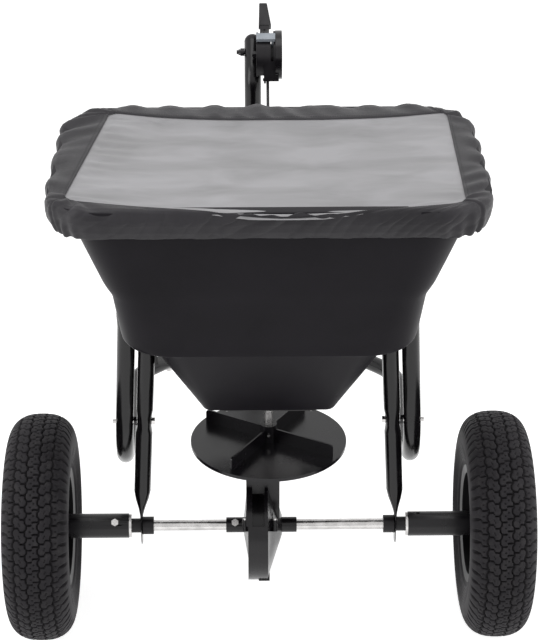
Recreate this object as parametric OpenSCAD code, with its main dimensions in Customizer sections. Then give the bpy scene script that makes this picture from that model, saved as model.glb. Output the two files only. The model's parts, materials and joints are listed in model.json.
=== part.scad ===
// Tow-behind broadcast spreader for salt, with a steel frame, a moulded hopper and a fabric cover.
// X points to the right, +Y is the direction of travel, Z is up and the ground is at zero.
// Inside the modules the axle line is the origin, so every height there is a rise over the axle.

/* [Wheels] */
// Outside diameter of each tyre
tyre_d = 330; // [315:1:345]
// Width of each tyre
tyre_w = 94; // [86:1:100]
// Thickness of the tyre's side walls
tyre_wall = 5; // [4:0.5:7]
// Thickness of the tyre under the tread
tread_t = 9; // [7:0.5:12]
// Distance from each hub tube's inner end to the middle plane of its wheel
wheel_out = 126; // [120:0.5:134]
// Diameter of the rim's bead seats
rim_d = 152; // [142:1:160]
// Height of the rim flange over the bead seat
rim_flange_h = 10; // [8:0.5:12]
// Distance from the middle plane to the lip of each rim pressing
rim_depth = 38; // [35:0.5:40]
// Diameter of the well in the middle of the rim
rim_well_d = 124; // [116:1:128]
// Thickness of the rim pressings
rim_t = 2; // [1.5:0.1:3]
// Number of bolts that clamp the two rim pressings
rim_bolt_n = 4; // [3:1:6]
// Bolt circle diameter of the rim bolts
rim_bolt_pcd = 80; // [70:1:90]
// Outside diameter of the hub tubes
hub_d = 36; // [34:0.5:40]
// Wall of the hub tubes
hub_wall = 3; // [2.5:0.5:4]
// Distance from each support tube to the inner end of the hub tube beside it
hub_out = 18.5; // [18:0.5:24]
// Length of each hub tube
hub_len = 150; // [140:1:156]
// Length of the bushings in the ends of the hub tubes
hub_bush_len = 16; // [12:1:18]
// Distance of the drive bolt from the inner end of the left hub tube
drive_bolt_in = 20; // [20:0.5:26]
// Diameter of the valve stems
valve_d = 9.6; // [8:0.1:11]
// Length of the valve stems
valve_len = 26; // [22:1:30]

/* [Axle] */
// Diameter of the axle
axle_d = 15.9; // [14:0.1:18]
// Length of axle beyond the outer end of each hub tube
axle_tail = 12; // [11:0.5:18]
// Thickness of the washers at the outer ends of the axle
end_washer_t = 2; // [1.5:0.1:2.5]
// Diameter of the cotter pins
cotter_d = 3; // [2.5:0.1:3.5]
// Outside diameter of the collar on each axle bushing
collar_d = 26; // [24:0.5:30]
// Length of that collar
collar_len = 16; // [12:1:20]
// Outside diameter of the sleeve on each axle bushing
bush_d = 21; // [20:0.5:22]
// Length of that sleeve outside the support tube
bush_len = 13; // [10:1:16]
// Running clearance on the axle and the shafts, on the radius
run_gap = 0.08; // [0.04:0.01:0.1]
// Play between washers and the parts beside them
side_gap = 0.3; // [0.2:0.05:0.4]

/* [Frame] */
// Outside diameter of the bent frame tubes
frame_tube_d = 25.4; // [23:0.1:27]
// Outside diameter of the axle support tubes
support_d = 24; // [22:0.5:26]
// Wall of the frame tubes and the support tubes
tube_wall = 1.5; // [1.2:0.1:2]
// Distance of the frame tubes' lower runs outside the hopper's lower wall
frame_out = 10; // [9:0.5:13]
// Rise of the lower runs of the frame tubes over the axle
frame_rise = 70; // [64:1:80]
// Bend radius at the foot of the frame tubes
foot_r = 120; // [110:1:124]
// Inward lean of the frame tubes' legs
leg_lean = 2.6; // [2.2:0.1:3]
// Distance from the axle to the start of the frame tubes' inward bend
run_len = 300; // [290:1:320]
// Bend radius of the inward bends
turn_r = 90; // [80:1:100]
// Angle of the inward bends
turn_a = 45; // [40:1:48]
// Length of the pads pressed at the front ends of the frame tubes
pad_len = 60; // [56:1:70]
// Distance between the bolts in each pad
pad_pitch = 30; // [26:1:34]
// Distance of the support tubes' lower ends inside the hopper's lower wall
support_in = 14.5; // [13:0.5:16]
// Inward lean of the support tubes
support_lean = 3; // [2.6:0.1:3.2]
// Rise over the axle where the support tubes start to be pressed flat
press_rise = 60; // [50:1:70]
// Reach of the flat ends below the axle
press_drop = 26; // [20:1:30]
// Rise over the axle of the bolt between support tube and frame tube
tie_rise = 175; // [165:1:185]
// Diameter of the frame bolts
bolt_d = 8; // [7:0.5:9]
// Diameter of the small bolts
small_bolt_d = 6.4; // [5.5:0.1:7]

/* [Hopper] */
// Wall of the hopper
hopper_wall = 3; // [2.5:0.5:4]
// Rise of the hopper's floor over the axle
floor_rise = 225; // [220:1:230]
// Height of the funnel from the floor to the shoulder
funnel_h = 122; // [112:1:126]
// Height from the shoulder to the kink of the side walls
lower_wall_h = 84; // [83:1:100]
// Height from the kink to the rim
upper_wall_h = 149; // [136:1:155]
// Half width of the outlet
outlet_hx = 92; // [88:1:96]
// Half depth of the outlet
outlet_hy = 61; // [58:1:66]
// Width of the shoulder on each side
shoulder_w = 42; // [40:1:48]
// Half width just over the shoulder
lower_hx = 200; // [198:0.5:201]
// Half depth at the shoulder
lower_hy = 138; // [130:1:145]
// Flare of the side walls from the shoulder to the kink
kink_flare_x = 9; // [5:0.5:12]
// Flare of the end walls from the shoulder to the kink
kink_flare_y = 12; // [8:1:18]
// Flare of the side walls from the kink to the rim
rim_flare_x = 59; // [50:1:64]
// Flare of the end walls from the kink to the rim
rim_flare_y = 24; // [18:1:28]
// Width of the rim's flange
flange_w = 18; // [14:1:22]
// Height of the lip that hangs from the flange
flange_lip = 10; // [8:1:14]

/* [Cover] */
// Thickness of the cover's fabric with its folds
cover_t = 2; // [1.5:0.1:3]
// Slack between the cover and the rim's flange
cover_gap = 0.5; // [0.3:0.1:1]
// Height of the cover's skirt
skirt_h = 38; // [32:1:44]
// Depth of the gathers in the skirt
gather = 2; // [0.5:0.1:3]
// Distance of the window's side edges inside the hopper's rim
window_in_x = 18; // [12:1:26]
// Distance of the window's front and rear edges inside the hopper's rim
window_in_y = 16; // [10:1:24]
// Overlap of the window under the fabric
window_lap = 8; // [5:0.5:10]
// Thickness of the window film
window_t = 0.8; // [0.6:0.1:1.2]
// Sag of the window in its middle
window_sag = 7; // [2:0.5:12]

/* [Spreading] */
// Diameter of the spinner plate
spinner_d = 223; // [210:1:235]
// Rise of the spinner plate's top over the axle
spinner_rise = 144; // [142:1:150]
// Thickness of the spinner plate
spinner_t = 2.5; // [2:0.1:4]
// Height of the spinner's vanes
vane_h = 20; // [16:1:24]
// Thickness of the vanes
vane_t = 2.6; // [2:0.1:4]
// Number of vanes
vane_n = 4; // [3:1:6]
// Diameter of the upright shaft
shaft_d = 12.7; // [11:0.1:13]
// Teeth of the face gear
gear_teeth = 60; // [54:2:62]
// Teeth of the pinion
pinion_teeth = 10; // [10:1:10]
// Gear module
gear_m = 2; // [1.9:0.05:2.05]
// Width of the gear teeth
tooth_w = 8; // [6:0.5:9]
// Outside diameter of the gear sleeve
sleeve_d = 22.5; // [21.5:0.1:24]
// Reach of the gear sleeve to the left
sleeve_left = 62; // [58:1:70]
// Reach of the gear sleeve to the right
sleeve_right = 41; // [34:1:48]
// Distance from the machine's middle to the sleeve bolt
sleeve_bolt_x = 49; // [47:0.5:52]
// Outside radius of the gear casing
case_r = 80; // [78:0.5:84]
// Wall of the gear casing
case_wall = 3; // [2.5:0.1:3.2]
// Width of each of the two ports in the hopper's floor
port_w = 32; // [26:1:34]
// Length of the ports
port_len = 25; // [20:1:26]
// Distance from the shaft's axis to the ports' rear edge
port_start = 9; // [8:0.5:12]
// Thickness of the slide gate
gate_t = 2; // [1.5:0.1:2.5]
// Half width of the slide gate
gate_hx = 54; // [52:0.5:58]

/* [Drawbar] */
// Diameter of the hitch tube
hitch_tube_d = 31.8; // [28:0.1:34]
// Distance from the axle to the hitch pin
hitch_y = 800; // [780:1:840]
// Diameter of the hitch pin's hole
hitch_hole_d = 13.2; // [12:0.1:16]
// Thickness of the clevis plates
clevis_t = 5; // [4:0.5:7]
// Width of the clevis plates
clevis_w = 40; // [36:1:48]
// Depth of the clevis in front of the hitch tube
clevis_depth = 60; // [56:1:70]
// Width of the crossover bar
cross_w = 30; // [26:1:34]
// Thickness of the crossover bar
cross_t = 4; // [3:0.5:6]

/* [Control] */
// Diameter of the control post
post_d = 25.4; // [22:0.1:27]
// Distance from the axle to the control post
post_y = 425; // [420:1:430]
// Rise over the axle where the post starts to bend
post_bend_rise = 520; // [510:1:530]
// Forward bend of the post's upper end
post_bend_a = 45; // [30:1:60]
// Bend radius of the post
post_bend_r = 45; // [40:1:50]
// Length of the post beyond its bend
post_top_len = 43; // [40:1:50]
// Rise of the lever's pivot over the start of the post's bend
pivot_up = 56; // [52:1:60]
// Distance of the lever's pivot from the post's lower axis
pivot_fwd = 2; // [0:0.5:5]
// Radius of the bracket round the pivot
pod_r = 34; // [32:0.5:35]
// Length of the lever's arm that pulls the rod
arm_len = 38; // [34:0.5:40]
// Swing of the lever between shut and open
lever_swing = 46; // [40:1:48]
// Angle of the lever's handle over the level when shut
handle_a = 50; // [46:1:54]
// Length of the lever's handle from the pivot
handle_len = 82; // [78:1:90]
// Thickness of the lever
lever_t = 3; // [2.5:0.1:4]
// Diameter of the control rod
rod_d = 4.5; // [4:0.1:5]
// Play between rod and slots
rod_play = 0.8; // [0.6:0.1:1.2]

/* [Hidden] */
$fn = 64;

// Widths that go together: the hopper's wall carries the frame tubes, and the support tubes carry the hubs
frame_x = lower_hx + frame_out;
support_x = lower_hx - support_in;
hub_start = support_x + hub_out;
wheel_x = hub_start + wheel_out;
funnel_hx = lower_hx - shoulder_w;
kink_hx = lower_hx + kink_flare_x;
kink_hy = lower_hy + kink_flare_y;
rim_hx = kink_hx + rim_flare_x;
rim_hy = kink_hy + rim_flare_y;
window_hx = rim_hx - window_in_x;
window_hy = rim_hy - window_in_y;
pivot_rise = post_bend_rise + pivot_up;

// General fits and small values
eps = 0.01;
thread_gap = 0.1;
hole_gap = 0.2;
press_gap = 0.02;
soft_gap = 0.3;
head_ratio = 0.65;
wrench_ratio = 1.75;
bore_len = 60;
LEFT = -1;
RIGHT = 1;

// Heights over the axle
shoulder_rise = floor_rise + funnel_h;
kink_rise = shoulder_rise + lower_wall_h;
rim_rise = kink_rise + upper_wall_h;
pad_t = 5;
// Half width of a round tube once it is pressed flat, as a share of its diameter
press_spread = 0.69;
post_flat_half = post_d * press_spread;

// Sizes of the whole machine along Y, which put the origin at the middle of its footprint
clevis_back = 70;
clevis_nose_r = clevis_w / 2;
hitch_tube_end = hitch_y - clevis_depth + clevis_nose_r;
front_reach = hitch_y + clevis_nose_r;
cover_hx = rim_hx + flange_w + cover_gap + cover_t;
cover_hy = rim_hy + flange_w + cover_gap + cover_t;
rear_reach = cover_hy;
origin_y = (rear_reach - front_reach) / 2;

function deg(rad) = rad * 180 / PI;

// Places a piece, modelled round the axle's middle, in the frame of the whole machine
module placed() {
  translate([0, origin_y, tyre_d / 2]) children();
}

// Turns a piece along Z so that it lies along +X, on the chosen side of the machine
module sideways(side) {
  mirror([side < 0 ? 1 : 0, 0, 0]) rotate([0, 90, 0]) children();
}

module ring(d_out, d_in, h) {
  difference() {
    cylinder(d = d_out, h = h);
    translate([0, 0, -1]) cylinder(d = d_in, h = h + 2);
  }
}

// Clearance holes along X and along Z, through everything near the given point
module bore_x(x, y, z, d) {
  translate([x, y, z]) rotate([0, 90, 0]) cylinder(d = d + hole_gap, h = bore_len, center = true);
}
module bore_z(x, y, z, d) {
  translate([x, y, z]) cylinder(d = d + hole_gap, h = bore_len, center = true);
}

// Bolt along +Z whose head lies below zero
module bolt(d, length) {
  color("#c9ccd0") union() {
    translate([0, 0, -d * head_ratio]) cylinder(d = d * wrench_ratio, h = d * head_ratio, $fn = 6);
    cylinder(d = d, h = length);
  }
}

module nut(d) {
  color("#c9ccd0") difference() {
    cylinder(d = d * wrench_ratio, h = d * 0.8, $fn = 6);
    translate([0, 0, -1]) cylinder(d = d + 2 * thread_gap, h = d + 2);
  }
}

// WHEELS

rim_r = rim_d / 2;
lip_r = rim_r + rim_flange_h;
well_r = rim_well_d / 2;
well_half = 14;
seat_start = 21;
seat_end = rim_depth - 2;
bead_gap = 0.15;
bead_w = 9;
tread_power = 2.2;
wall_power = 1.6;
tyre_steps = 12;
tyre_mid_r = (tyre_d / 2 + rim_r) / 2;

// Half outline of a tyre from the crown to the widest place and down to the bead
function crown_half(r_top, half_w) = [
  for (i = [0 : tyre_steps]) let (a = 90 - 90 * i / tyre_steps)
    [tyre_mid_r + (r_top - tyre_mid_r) * pow(sin(a), 2 / tread_power), half_w * pow(cos(a), 2 / tread_power)]
];
function wall_half(half_w, end_r, end_z) = [
  for (i = [1 : tyre_steps / 2]) let (s = i * 2 / tyre_steps)
    [tyre_mid_r - (tyre_mid_r - end_r) * s, half_w - (half_w - end_z) * pow(s, wall_power)]
];
function reversed(list) = [for (i = [len(list) - 1 : -1 : 0]) list[i]];
function other_side(list) = [for (p = reversed(list)) [p[0], -p[1]]];

module tyre(side) {
  outer = concat(
    crown_half(tyre_d / 2, tyre_w / 2),
    wall_half(tyre_w / 2, lip_r, rim_depth - bead_gap),
    [[rim_r + bead_gap, seat_end - bead_gap], [rim_r + bead_gap, seat_end - bead_w]]
  );
  inner = concat(
    crown_half(tyre_d / 2 - tread_t, tyre_w / 2 - tyre_wall),
    wall_half(tyre_w / 2 - tyre_wall, rim_r + bead_w, seat_end - bead_w)
  );
  half = concat(outer, reversed(inner));
  color("#232225") sideways(side) translate([0, 0, wheel_x])
    rotate_extrude($fn = 96) polygon(concat(half, other_side(half)));
}

// One rim pressing, with its web on the middle plane
module rim_pressing(side, outer) {
  face = [[hub_d / 2 + press_gap, 0], [well_r, 0], [well_r, well_half], [rim_r, seat_start],
      [rim_r, seat_end], [lip_r, rim_depth]];
  back = [[lip_r, rim_depth + rim_t], [rim_r - rim_t, seat_end + rim_t], [rim_r - rim_t, seat_start + rim_t / 2],
      [well_r - rim_t, well_half + rim_t / 2], [well_r - rim_t, rim_t], [hub_d / 2 + press_gap, rim_t]];
  color("#1c1b1e") sideways(side) translate([0, 0, wheel_x]) mirror([0, 0, outer ? 0 : 1])
    difference() {
      rotate_extrude($fn = 96) polygon(concat(face, back));
      rim_bolt_holes();
      if (outer) valve_axis() cylinder(d = valve_d + 2 * press_gap, h = 4 * valve_len, center = true);
    }
}

module rim_bolt_holes() {
  for (i = [0 : rim_bolt_n - 1]) rotate([0, 0, (i + 0.5) * 360 / rim_bolt_n])
    translate([rim_bolt_pcd / 2, 0, -rim_t - 1]) cylinder(d = bolt_d + 2 * hole_gap, h = 2 * rim_t + 2);
}

module rim_bolts(side) {
  color("#c9ccd0") sideways(side) translate([0, 0, wheel_x]) for (i = [0 : rim_bolt_n - 1])
    rotate([0, 0, (i + 0.5) * 360 / rim_bolt_n]) translate([rim_bolt_pcd / 2, 0, 0]) {
      translate([0, 0, rim_t]) mirror([0, 0, 1]) bolt(bolt_d, 2 * rim_t + bolt_d);
      translate([0, 0, -rim_t]) mirror([0, 0, 1]) nut(bolt_d);
    }
}

// Axis of the valve through the wall of the well, leaning outwards towards the hub
valve_tilt = 25;
valve_z = rim_t + valve_d / 2 + 1.5;
module valve_axis() {
  translate([-well_r + rim_t, 0, valve_z]) rotate([0, 90 - valve_tilt, 0]) children();
}

module valve_stem(side) {
  color("#2a2a2c") sideways(side) translate([0, 0, wheel_x]) valve_axis() union() {
    translate([0, 0, -4]) cylinder(d = valve_d, h = valve_len * 0.6 + 4);
    cylinder(d = valve_d * 0.7, h = valve_len);
  }
}

module hub_tube(side) {
  color("#2b292d") sideways(side) difference() {
    translate([0, 0, hub_start]) ring(hub_d, hub_d - 2 * hub_wall, hub_len);
    if (side < 0)
      translate([0, 0, hub_start + drive_bolt_in]) cross_axis(side)
        cylinder(d = small_bolt_d + hole_gap, h = 2 * hub_d, center = true);
    else
      translate([0, 0, hub_start + oil_hole_in]) rotate([0, -90, 0]) cylinder(d = oil_hole_d, h = hub_d);
  }
}
oil_hole_in = 15;
oil_hole_d = 5;

module hub_bushings(side) {
  color("#e4e2da") sideways(side)
    for (z = [hub_start, hub_start + hub_len - hub_bush_len])
      translate([0, 0, z])
        ring(hub_d - 2 * hub_wall - 2 * press_gap, axle_d + 2 * run_gap, hub_bush_len);
}

// AXLE

bolt_tilt = 136;
axle_end = hub_start + hub_len + axle_tail;
cotter_x = hub_start + hub_len + 2 * side_gap + end_washer_t + cotter_d / 2 + side_gap;

// Direction of the bolts through the axle, in a frame whose Z is the axle's outward line
module cross_axis(side) {
  rotate([0, 0, bolt_tilt]) rotate([90, 0, 0]) children();
}

module axle() {
  color("#dcdad8") difference() {
    rotate([0, 90, 0]) cylinder(d = axle_d, h = 2 * axle_end, center = true);
    for (side = [LEFT, RIGHT]) sideways(side) translate([0, 0, cotter_x]) rotate([90, 0, 0])
      cylinder(d = cotter_d + 2 * thread_gap, h = 2 * axle_d, center = true);
    sideways(LEFT) translate([0, 0, hub_start + drive_bolt_in]) cross_axis(LEFT)
      cylinder(d = small_bolt_d + hole_gap, h = 2 * axle_d, center = true);
    sideways(LEFT) translate([0, 0, sleeve_bolt_x]) cross_axis(LEFT)
      cylinder(d = small_bolt_d + hole_gap, h = 2 * axle_d, center = true);
  }
}

// Bolt across a tube on the axle, with its nut on the far side
module cross_bolt(x, d_tube) {
  sideways(LEFT) translate([0, 0, x]) cross_axis(LEFT) {
    translate([0, 0, -d_tube / 2]) bolt(small_bolt_d, d_tube + small_bolt_d);
    translate([0, 0, d_tube / 2]) nut(small_bolt_d);
  }
}

module drive_bolt() {
  cross_bolt(hub_start + drive_bolt_in, hub_d);
}

module sleeve_bolt() {
  cross_bolt(sleeve_bolt_x, sleeve_d);
}

pad_gauge = 2 * tube_wall;
bush_end = support_x + pad_gauge / 2 + bush_len;
module axle_washers() {
  color("#d2d2d0") for (side = [LEFT, RIGHT]) sideways(side) {
    translate([0, 0, bush_end + side_gap])
      ring(hub_d - 2, axle_d + 2 * thread_gap, hub_start - bush_end - 2 * side_gap);
    translate([0, 0, hub_start + hub_len + side_gap]) ring(hub_d, axle_d + 2 * thread_gap, end_washer_t);
  }
}

module cotter_pins() {
  eye_r = 4;
  color("#c9ccd0") for (side = [LEFT, RIGHT]) sideways(side) translate([0, 0, cotter_x])
    rotate([90, 0, 0]) union() {
      cylinder(d = cotter_d, h = axle_d + 8, center = true);
      translate([0, 0, axle_d / 2 + 4 + eye_r]) rotate([90, 0, 0])
        rotate_extrude($fn = 32) translate([eye_r, 0]) circle(d = cotter_d, $fn = 24);
    }
}

module axle_bushing(side) {
  inner_face = support_x - pad_gauge / 2;
  color("#27252a") sideways(side) difference() {
    union() {
      translate([0, 0, inner_face - collar_len]) cylinder(d = collar_d, h = collar_len);
      translate([0, 0, inner_face - eps]) cylinder(d = bush_d, h = pad_gauge + bush_len + eps);
    }
    translate([0, 0, inner_face - collar_len - 1])
      cylinder(d = axle_d + 2 * run_gap, h = collar_len + pad_gauge + bush_len + 2);
  }
}

// TUBES OF THE FRAME

// A place on a tube's centreline: point, two unit directions across, half sizes along them, squareness
tube_sides = 32;
function station(at, u, v, ru, rv, power = 2) = [at, u, v, ru, rv, power];
function round_station(at, u, v, d) = station(at, u, v, d / 2, d / 2);
function rounded(c, power) = sign(c) * pow(abs(c), 2 / power);
function section(f, inset = 0) = [
  for (i = [0 : tube_sides - 1]) let (a = 360 * (i + 0.5) / tube_sides)
    f[0] + (f[3] - inset) * rounded(cos(a), f[5]) * f[1] + (f[4] - inset) * rounded(sin(a), f[5]) * f[2]
];
function is_round(f) = f[3] == f[4];

// Tube through its stations, solid where it is pressed flat; its hollow may run on past an open end
module swept_tube(stations, beyond = []) {
  difference() {
    ring_stack([for (f = stations) section(f)]);
    ring_stack([for (f = concat(stations, beyond)) if (is_round(f)) section(f, tube_wall)]);
  }
}

// Goes to the end of a bend that starts at the origin along +Z and turns towards +X
module after_bend(r, a) {
  translate([r * (1 - cos(a)), 0, r * sin(a)]) rotate([0, a, 0]) children();
}

press_blend = 24;
tube_stub = 2;
leg_top = (shoulder_rise - 20 - frame_rise) / cos(leg_lean);
corner_r = 18;
turn_side = 2 * turn_r * (1 - cos(turn_a));
pad_x = hitch_tube_d / 2 + pad_t / 2;
// The tube meets the hitch tube with its inner side, and is pressed flat towards that side
pad_tube_x = hitch_tube_d / 2 + soft_gap + frame_tube_d / 2;
turn_straight = (frame_x - pad_tube_x - turn_side) / sin(turn_a);
pad_start = run_len + 2 * turn_r * sin(turn_a) + turn_straight * cos(turn_a);
side_bolts = [shoulder_rise + 33, shoulder_rise + 66];

// Half width of the hopper's side wall at a rise between the shoulder and the kink
wall_lean = kink_flare_x / (lower_wall_h - corner_r);
function wall_x(rise) = lower_hx + wall_lean * (rise - shoulder_rise - corner_r);
// Heads and nuts stand square on the leaning wall, so they seat on one edge
side_seat = bolt_d * wrench_ratio / 2 * wall_lean + 0.05;

// Right-hand frame tube from its top down the leg, round the foot and forward to the pad
flat_half_w = frame_tube_d * press_spread;
pad_power = 5;
bend_steps = 9;
turn_steps = 5;
across = [1, 0, 0];
leg_across = [cos(leg_lean), 0, sin(leg_lean)];
leg_up = [-sin(leg_lean), 0, cos(leg_lean)];
function wall_station(z, share) =
  station([wall_x(z) + pad_t / 2, 0, z], across, [0, -1, 0], pad_t / 2, flat_half_w * share, pad_power);
function turn_station(b, at) = round_station(at, [cos(b), sin(b), 0], [0, 0, -1], frame_tube_d);
function pad_station(y, ru, rv, power) =
  station([hitch_tube_d / 2 + ru, y, frame_rise], across, [0, 0, -1], ru, rv, power);
press_half = pad_start + tube_stub + press_blend / 2;
press_end = pad_start + tube_stub + press_blend;
frame_stations = concat(
  [wall_station(side_bolts[1] + 17, 0.5), wall_station(side_bolts[1] + 13, 0.82),
    wall_station(side_bolts[1] + 5, 1), wall_station(shoulder_rise + 18, 1)],
  [station([wall_x(shoulder_rise + corner_r) + 4, 0, shoulder_rise], across, [0, -1, 0],
    frame_tube_d * 0.31, frame_tube_d * 0.58, 2.4)],
  [round_station([frame_x, 0, frame_rise] + leg_top * leg_up, leg_across, [0, -1, 0], frame_tube_d)],
  [for (i = [0 : bend_steps]) let (a = 90 * i / bend_steps)
    round_station([frame_x, foot_r * (1 - cos(a)), frame_rise] + foot_r * (1 - sin(a)) * leg_up,
      leg_across, [0, -cos(a), 0] - sin(a) * leg_up, frame_tube_d)],
  [for (i = [0 : turn_steps]) let (b = turn_a * i / turn_steps)
    turn_station(b, [frame_x - turn_r * (1 - cos(b)), run_len + turn_r * sin(b), frame_rise])],
  [for (i = [turn_steps : -1 : 0]) let (b = turn_a * i / turn_steps)
    turn_station(b, [pad_tube_x + turn_r * (1 - cos(b)), pad_start - turn_r * sin(b), frame_rise])],
  [turn_station(0, [pad_tube_x, pad_start + tube_stub, frame_rise])],
  [pad_station(press_half, frame_tube_d * 0.3, frame_tube_d * 0.6, 2.6),
    pad_station(press_end, pad_t / 2, flat_half_w, pad_power),
    pad_station(press_end + pad_len - 10, pad_t / 2, flat_half_w, pad_power),
    pad_station(press_end + pad_len - 3, pad_t / 2, flat_half_w * 0.85, pad_power),
    pad_station(press_end + pad_len, pad_t / 2, flat_half_w * 0.6, pad_power)]
);

module frame_tube(side) {
  color("#1f1c20") mirror([side < 0 ? 1 : 0, 0, 0]) difference() {
    swept_tube(frame_stations);
    bore_x(frame_x, 0, tie_rise, small_bolt_d);
    for (z = side_bolts) bore_x(lower_hx, 0, z, bolt_d);
    for (y = pad_bolts) bore_x(pad_x, y, frame_rise, bolt_d);
    bore_z(cross_bolt_x, cross_y, frame_rise, small_bolt_d);
  }
}
cross_y = post_y - post_flat_half - cross_w / 2 - 2;
pad_mid = pad_start + tube_stub + press_blend + pad_len / 2;
pad_bolts = [pad_mid - pad_pitch / 2, pad_mid + pad_pitch / 2];
turn_out_y = run_len + turn_r * sin(turn_a);
cross_bolt_x = frame_x - turn_r * (1 - cos(turn_a)) - (cross_y - turn_out_y) * tan(turn_a);

// Oval section of the support tube as [rise, half width in X, half depth in Y]
support_r = support_d / 2;
flat_half = pad_gauge / 2;
flat_depth = support_r * PI / 2 - 0.3;
dent = 1.6;
tie_flat = 8;
tie_lean = tie_flat * tan(support_lean);
support_top = shoulder_rise - 4;
support_sections = [
  [-press_drop, flat_half, flat_depth * 0.55],
  [-press_drop + 4, flat_half, flat_depth * 0.85],
  [-press_drop + 10, flat_half, flat_depth],
  [14, flat_half, flat_depth],
  [press_rise * 0.42, flat_half + 1.5, flat_depth * 0.97],
  [press_rise * 0.6, support_r * 0.5, flat_depth * 0.88],
  [press_rise * 0.8, support_r * 0.82, support_r * 1.16],
  [press_rise, support_r, support_r],
  [tie_rise - 18, support_r, support_r],
  [tie_rise - tie_flat, support_r - dent, support_r + dent],
  [tie_rise + tie_flat, support_r - dent, support_r + dent],
  [tie_rise + 20, support_r, support_r],
  [support_top, support_r, support_r]
];
support_sides = 24;
function support_axis(rise) = support_x - (rise > 14 ? (rise - 14) * tan(support_lean) : 0);
function oval(s, inset) = [
  for (i = [0 : support_sides - 1]) let (a = 360 * i / support_sides)
    [support_axis(s[0]) + max(s[1] - inset, 0.2) * cos(a), (s[2] - inset) * sin(a), s[0]]
];

// Solid through a stack of rings with equal numbers of points, capped at its ends or closed on itself
module ring_stack(rings, loop = false) {
  n = len(rings[0]);
  m = len(rings);
  points = [for (r = rings) each r];
  sides = [for (k = [0 : loop ? m - 1 : m - 2]) for (i = [0 : n - 1])
    let (j = (i + 1) % n, a = k * n, b = ((k + 1) % m) * n) each [[a + i, b + i, b + j], [a + i, b + j, a + j]]];
  caps = loop ? [] : [[for (i = [0 : n - 1]) i], [for (i = [n - 1 : -1 : 0]) (m - 1) * n + i]];
  polyhedron(points, concat(sides, caps));
}

foot_half_w = 20;
foot_depth = 56;
foot_t = 4;
foot_bolt_y = 20;
function foot_x() = support_axis(shoulder_rise);
foot_start = funnel_hx + 0.5;

// Right-hand support tube, with a foot plate that carries the hopper's shoulder
module support_body() {
  bore_rings = [for (s = support_sections) if (s[0] >= press_rise) oval(s, tube_wall)];
  difference() {
    union() {
      ring_stack([for (s = support_sections) oval(s, 0)]);
      translate([foot_start, -foot_depth / 2, support_top])
        cube([foot_x() + foot_half_w - foot_start, foot_depth, foot_t]);
    }
    ring_stack(bore_rings);
    translate([support_x, 0, 0]) rotate([0, 90, 0])
      cylinder(d = bush_d + 2 * hole_gap, h = 20, center = true);
    bore_x(support_x, 0, tie_rise, small_bolt_d);
    for (y = [-foot_bolt_y, foot_bolt_y]) bore_z(foot_x(), y, shoulder_rise, small_bolt_d);
  }
}

module axle_support(side) {
  color("#1c191c") mirror([side < 0 ? 1 : 0, 0, 0]) difference() {
    support_body();
    if (side < 0) bore_x(support_axis(brace_rise), 0, brace_rise, small_bolt_d);
  }
}

tie_inner = support_axis(tie_rise) - support_r + dent - tie_lean;
tie_gap_start = support_axis(tie_rise) + support_r - dent + tie_lean;
leg_tie_x = frame_x - (tie_rise - frame_rise) * tan(leg_lean);
tie_gap_end = leg_tie_x - frame_tube_d / 2 / cos(leg_lean) - tie_flat * tan(leg_lean);
tie_tail = 4;

// Hexagonal spacers between the support tubes and the frame tubes
module frame_spacers() {
  color("#3a383c") for (side = [LEFT, RIGHT]) sideways(side)
    translate([-tie_rise, 0, tie_gap_start]) difference() {
      cylinder(d = 14, h = tie_gap_end - tie_gap_start, $fn = 6);
      translate([0, 0, -1]) cylinder(d = small_bolt_d + 2 * thread_gap, h = bore_len);
    }
}

shoulder_bolt_len = foot_t + hopper_wall + small_bolt_d;
cross_top = frame_rise + frame_tube_d / 2;
hitch_rise = cross_top - hitch_tube_d / 2;

module frame_bolts() {
  for (side = [LEFT, RIGHT]) sideways(side) {
    translate([-tie_rise, 0, tie_inner])
      bolt(small_bolt_d, leg_tie_x + frame_tube_d / 2 - tie_inner + tie_tail);
    for (z = side_bolts) translate([-z, 0, wall_x(z) + pad_t + side_seat]) mirror([0, 0, 1])
      bolt(bolt_d, pad_t + hopper_wall + bolt_d + 2 * side_seat);
  }
  for (side = [LEFT, RIGHT], y = [-foot_bolt_y, foot_bolt_y])
    translate([side * foot_x(), y, support_top]) bolt(small_bolt_d, shoulder_bolt_len);
  for (y = pad_bolts) sideways(LEFT) translate([-frame_rise, y, -pad_x - pad_t / 2])
    bolt(bolt_d, 2 * pad_x + pad_t + bolt_d);
  for (side = [LEFT, RIGHT]) translate([side * cross_bolt_x, cross_y, cross_top + cross_t]) mirror([0, 0, 1])
    bolt(small_bolt_d, cross_t + frame_tube_d + small_bolt_d);
  translate([0, cross_y, cross_top + cross_t]) mirror([0, 0, 1])
    bolt(small_bolt_d, cross_t + hitch_tube_d + small_bolt_d);
  for (y = post_bolts) sideways(LEFT) translate([-hitch_rise, y, -hitch_tube_d / 2])
    bolt(small_bolt_d, hitch_tube_d + pad_t + small_bolt_d);
  for (y = clevis_bolts) translate([0, y, hitch_rise + hitch_tube_d / 2 + clevis_t]) mirror([0, 0, 1])
    bolt(bolt_d, hitch_tube_d + 2 * clevis_t + bolt_d);
}

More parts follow.
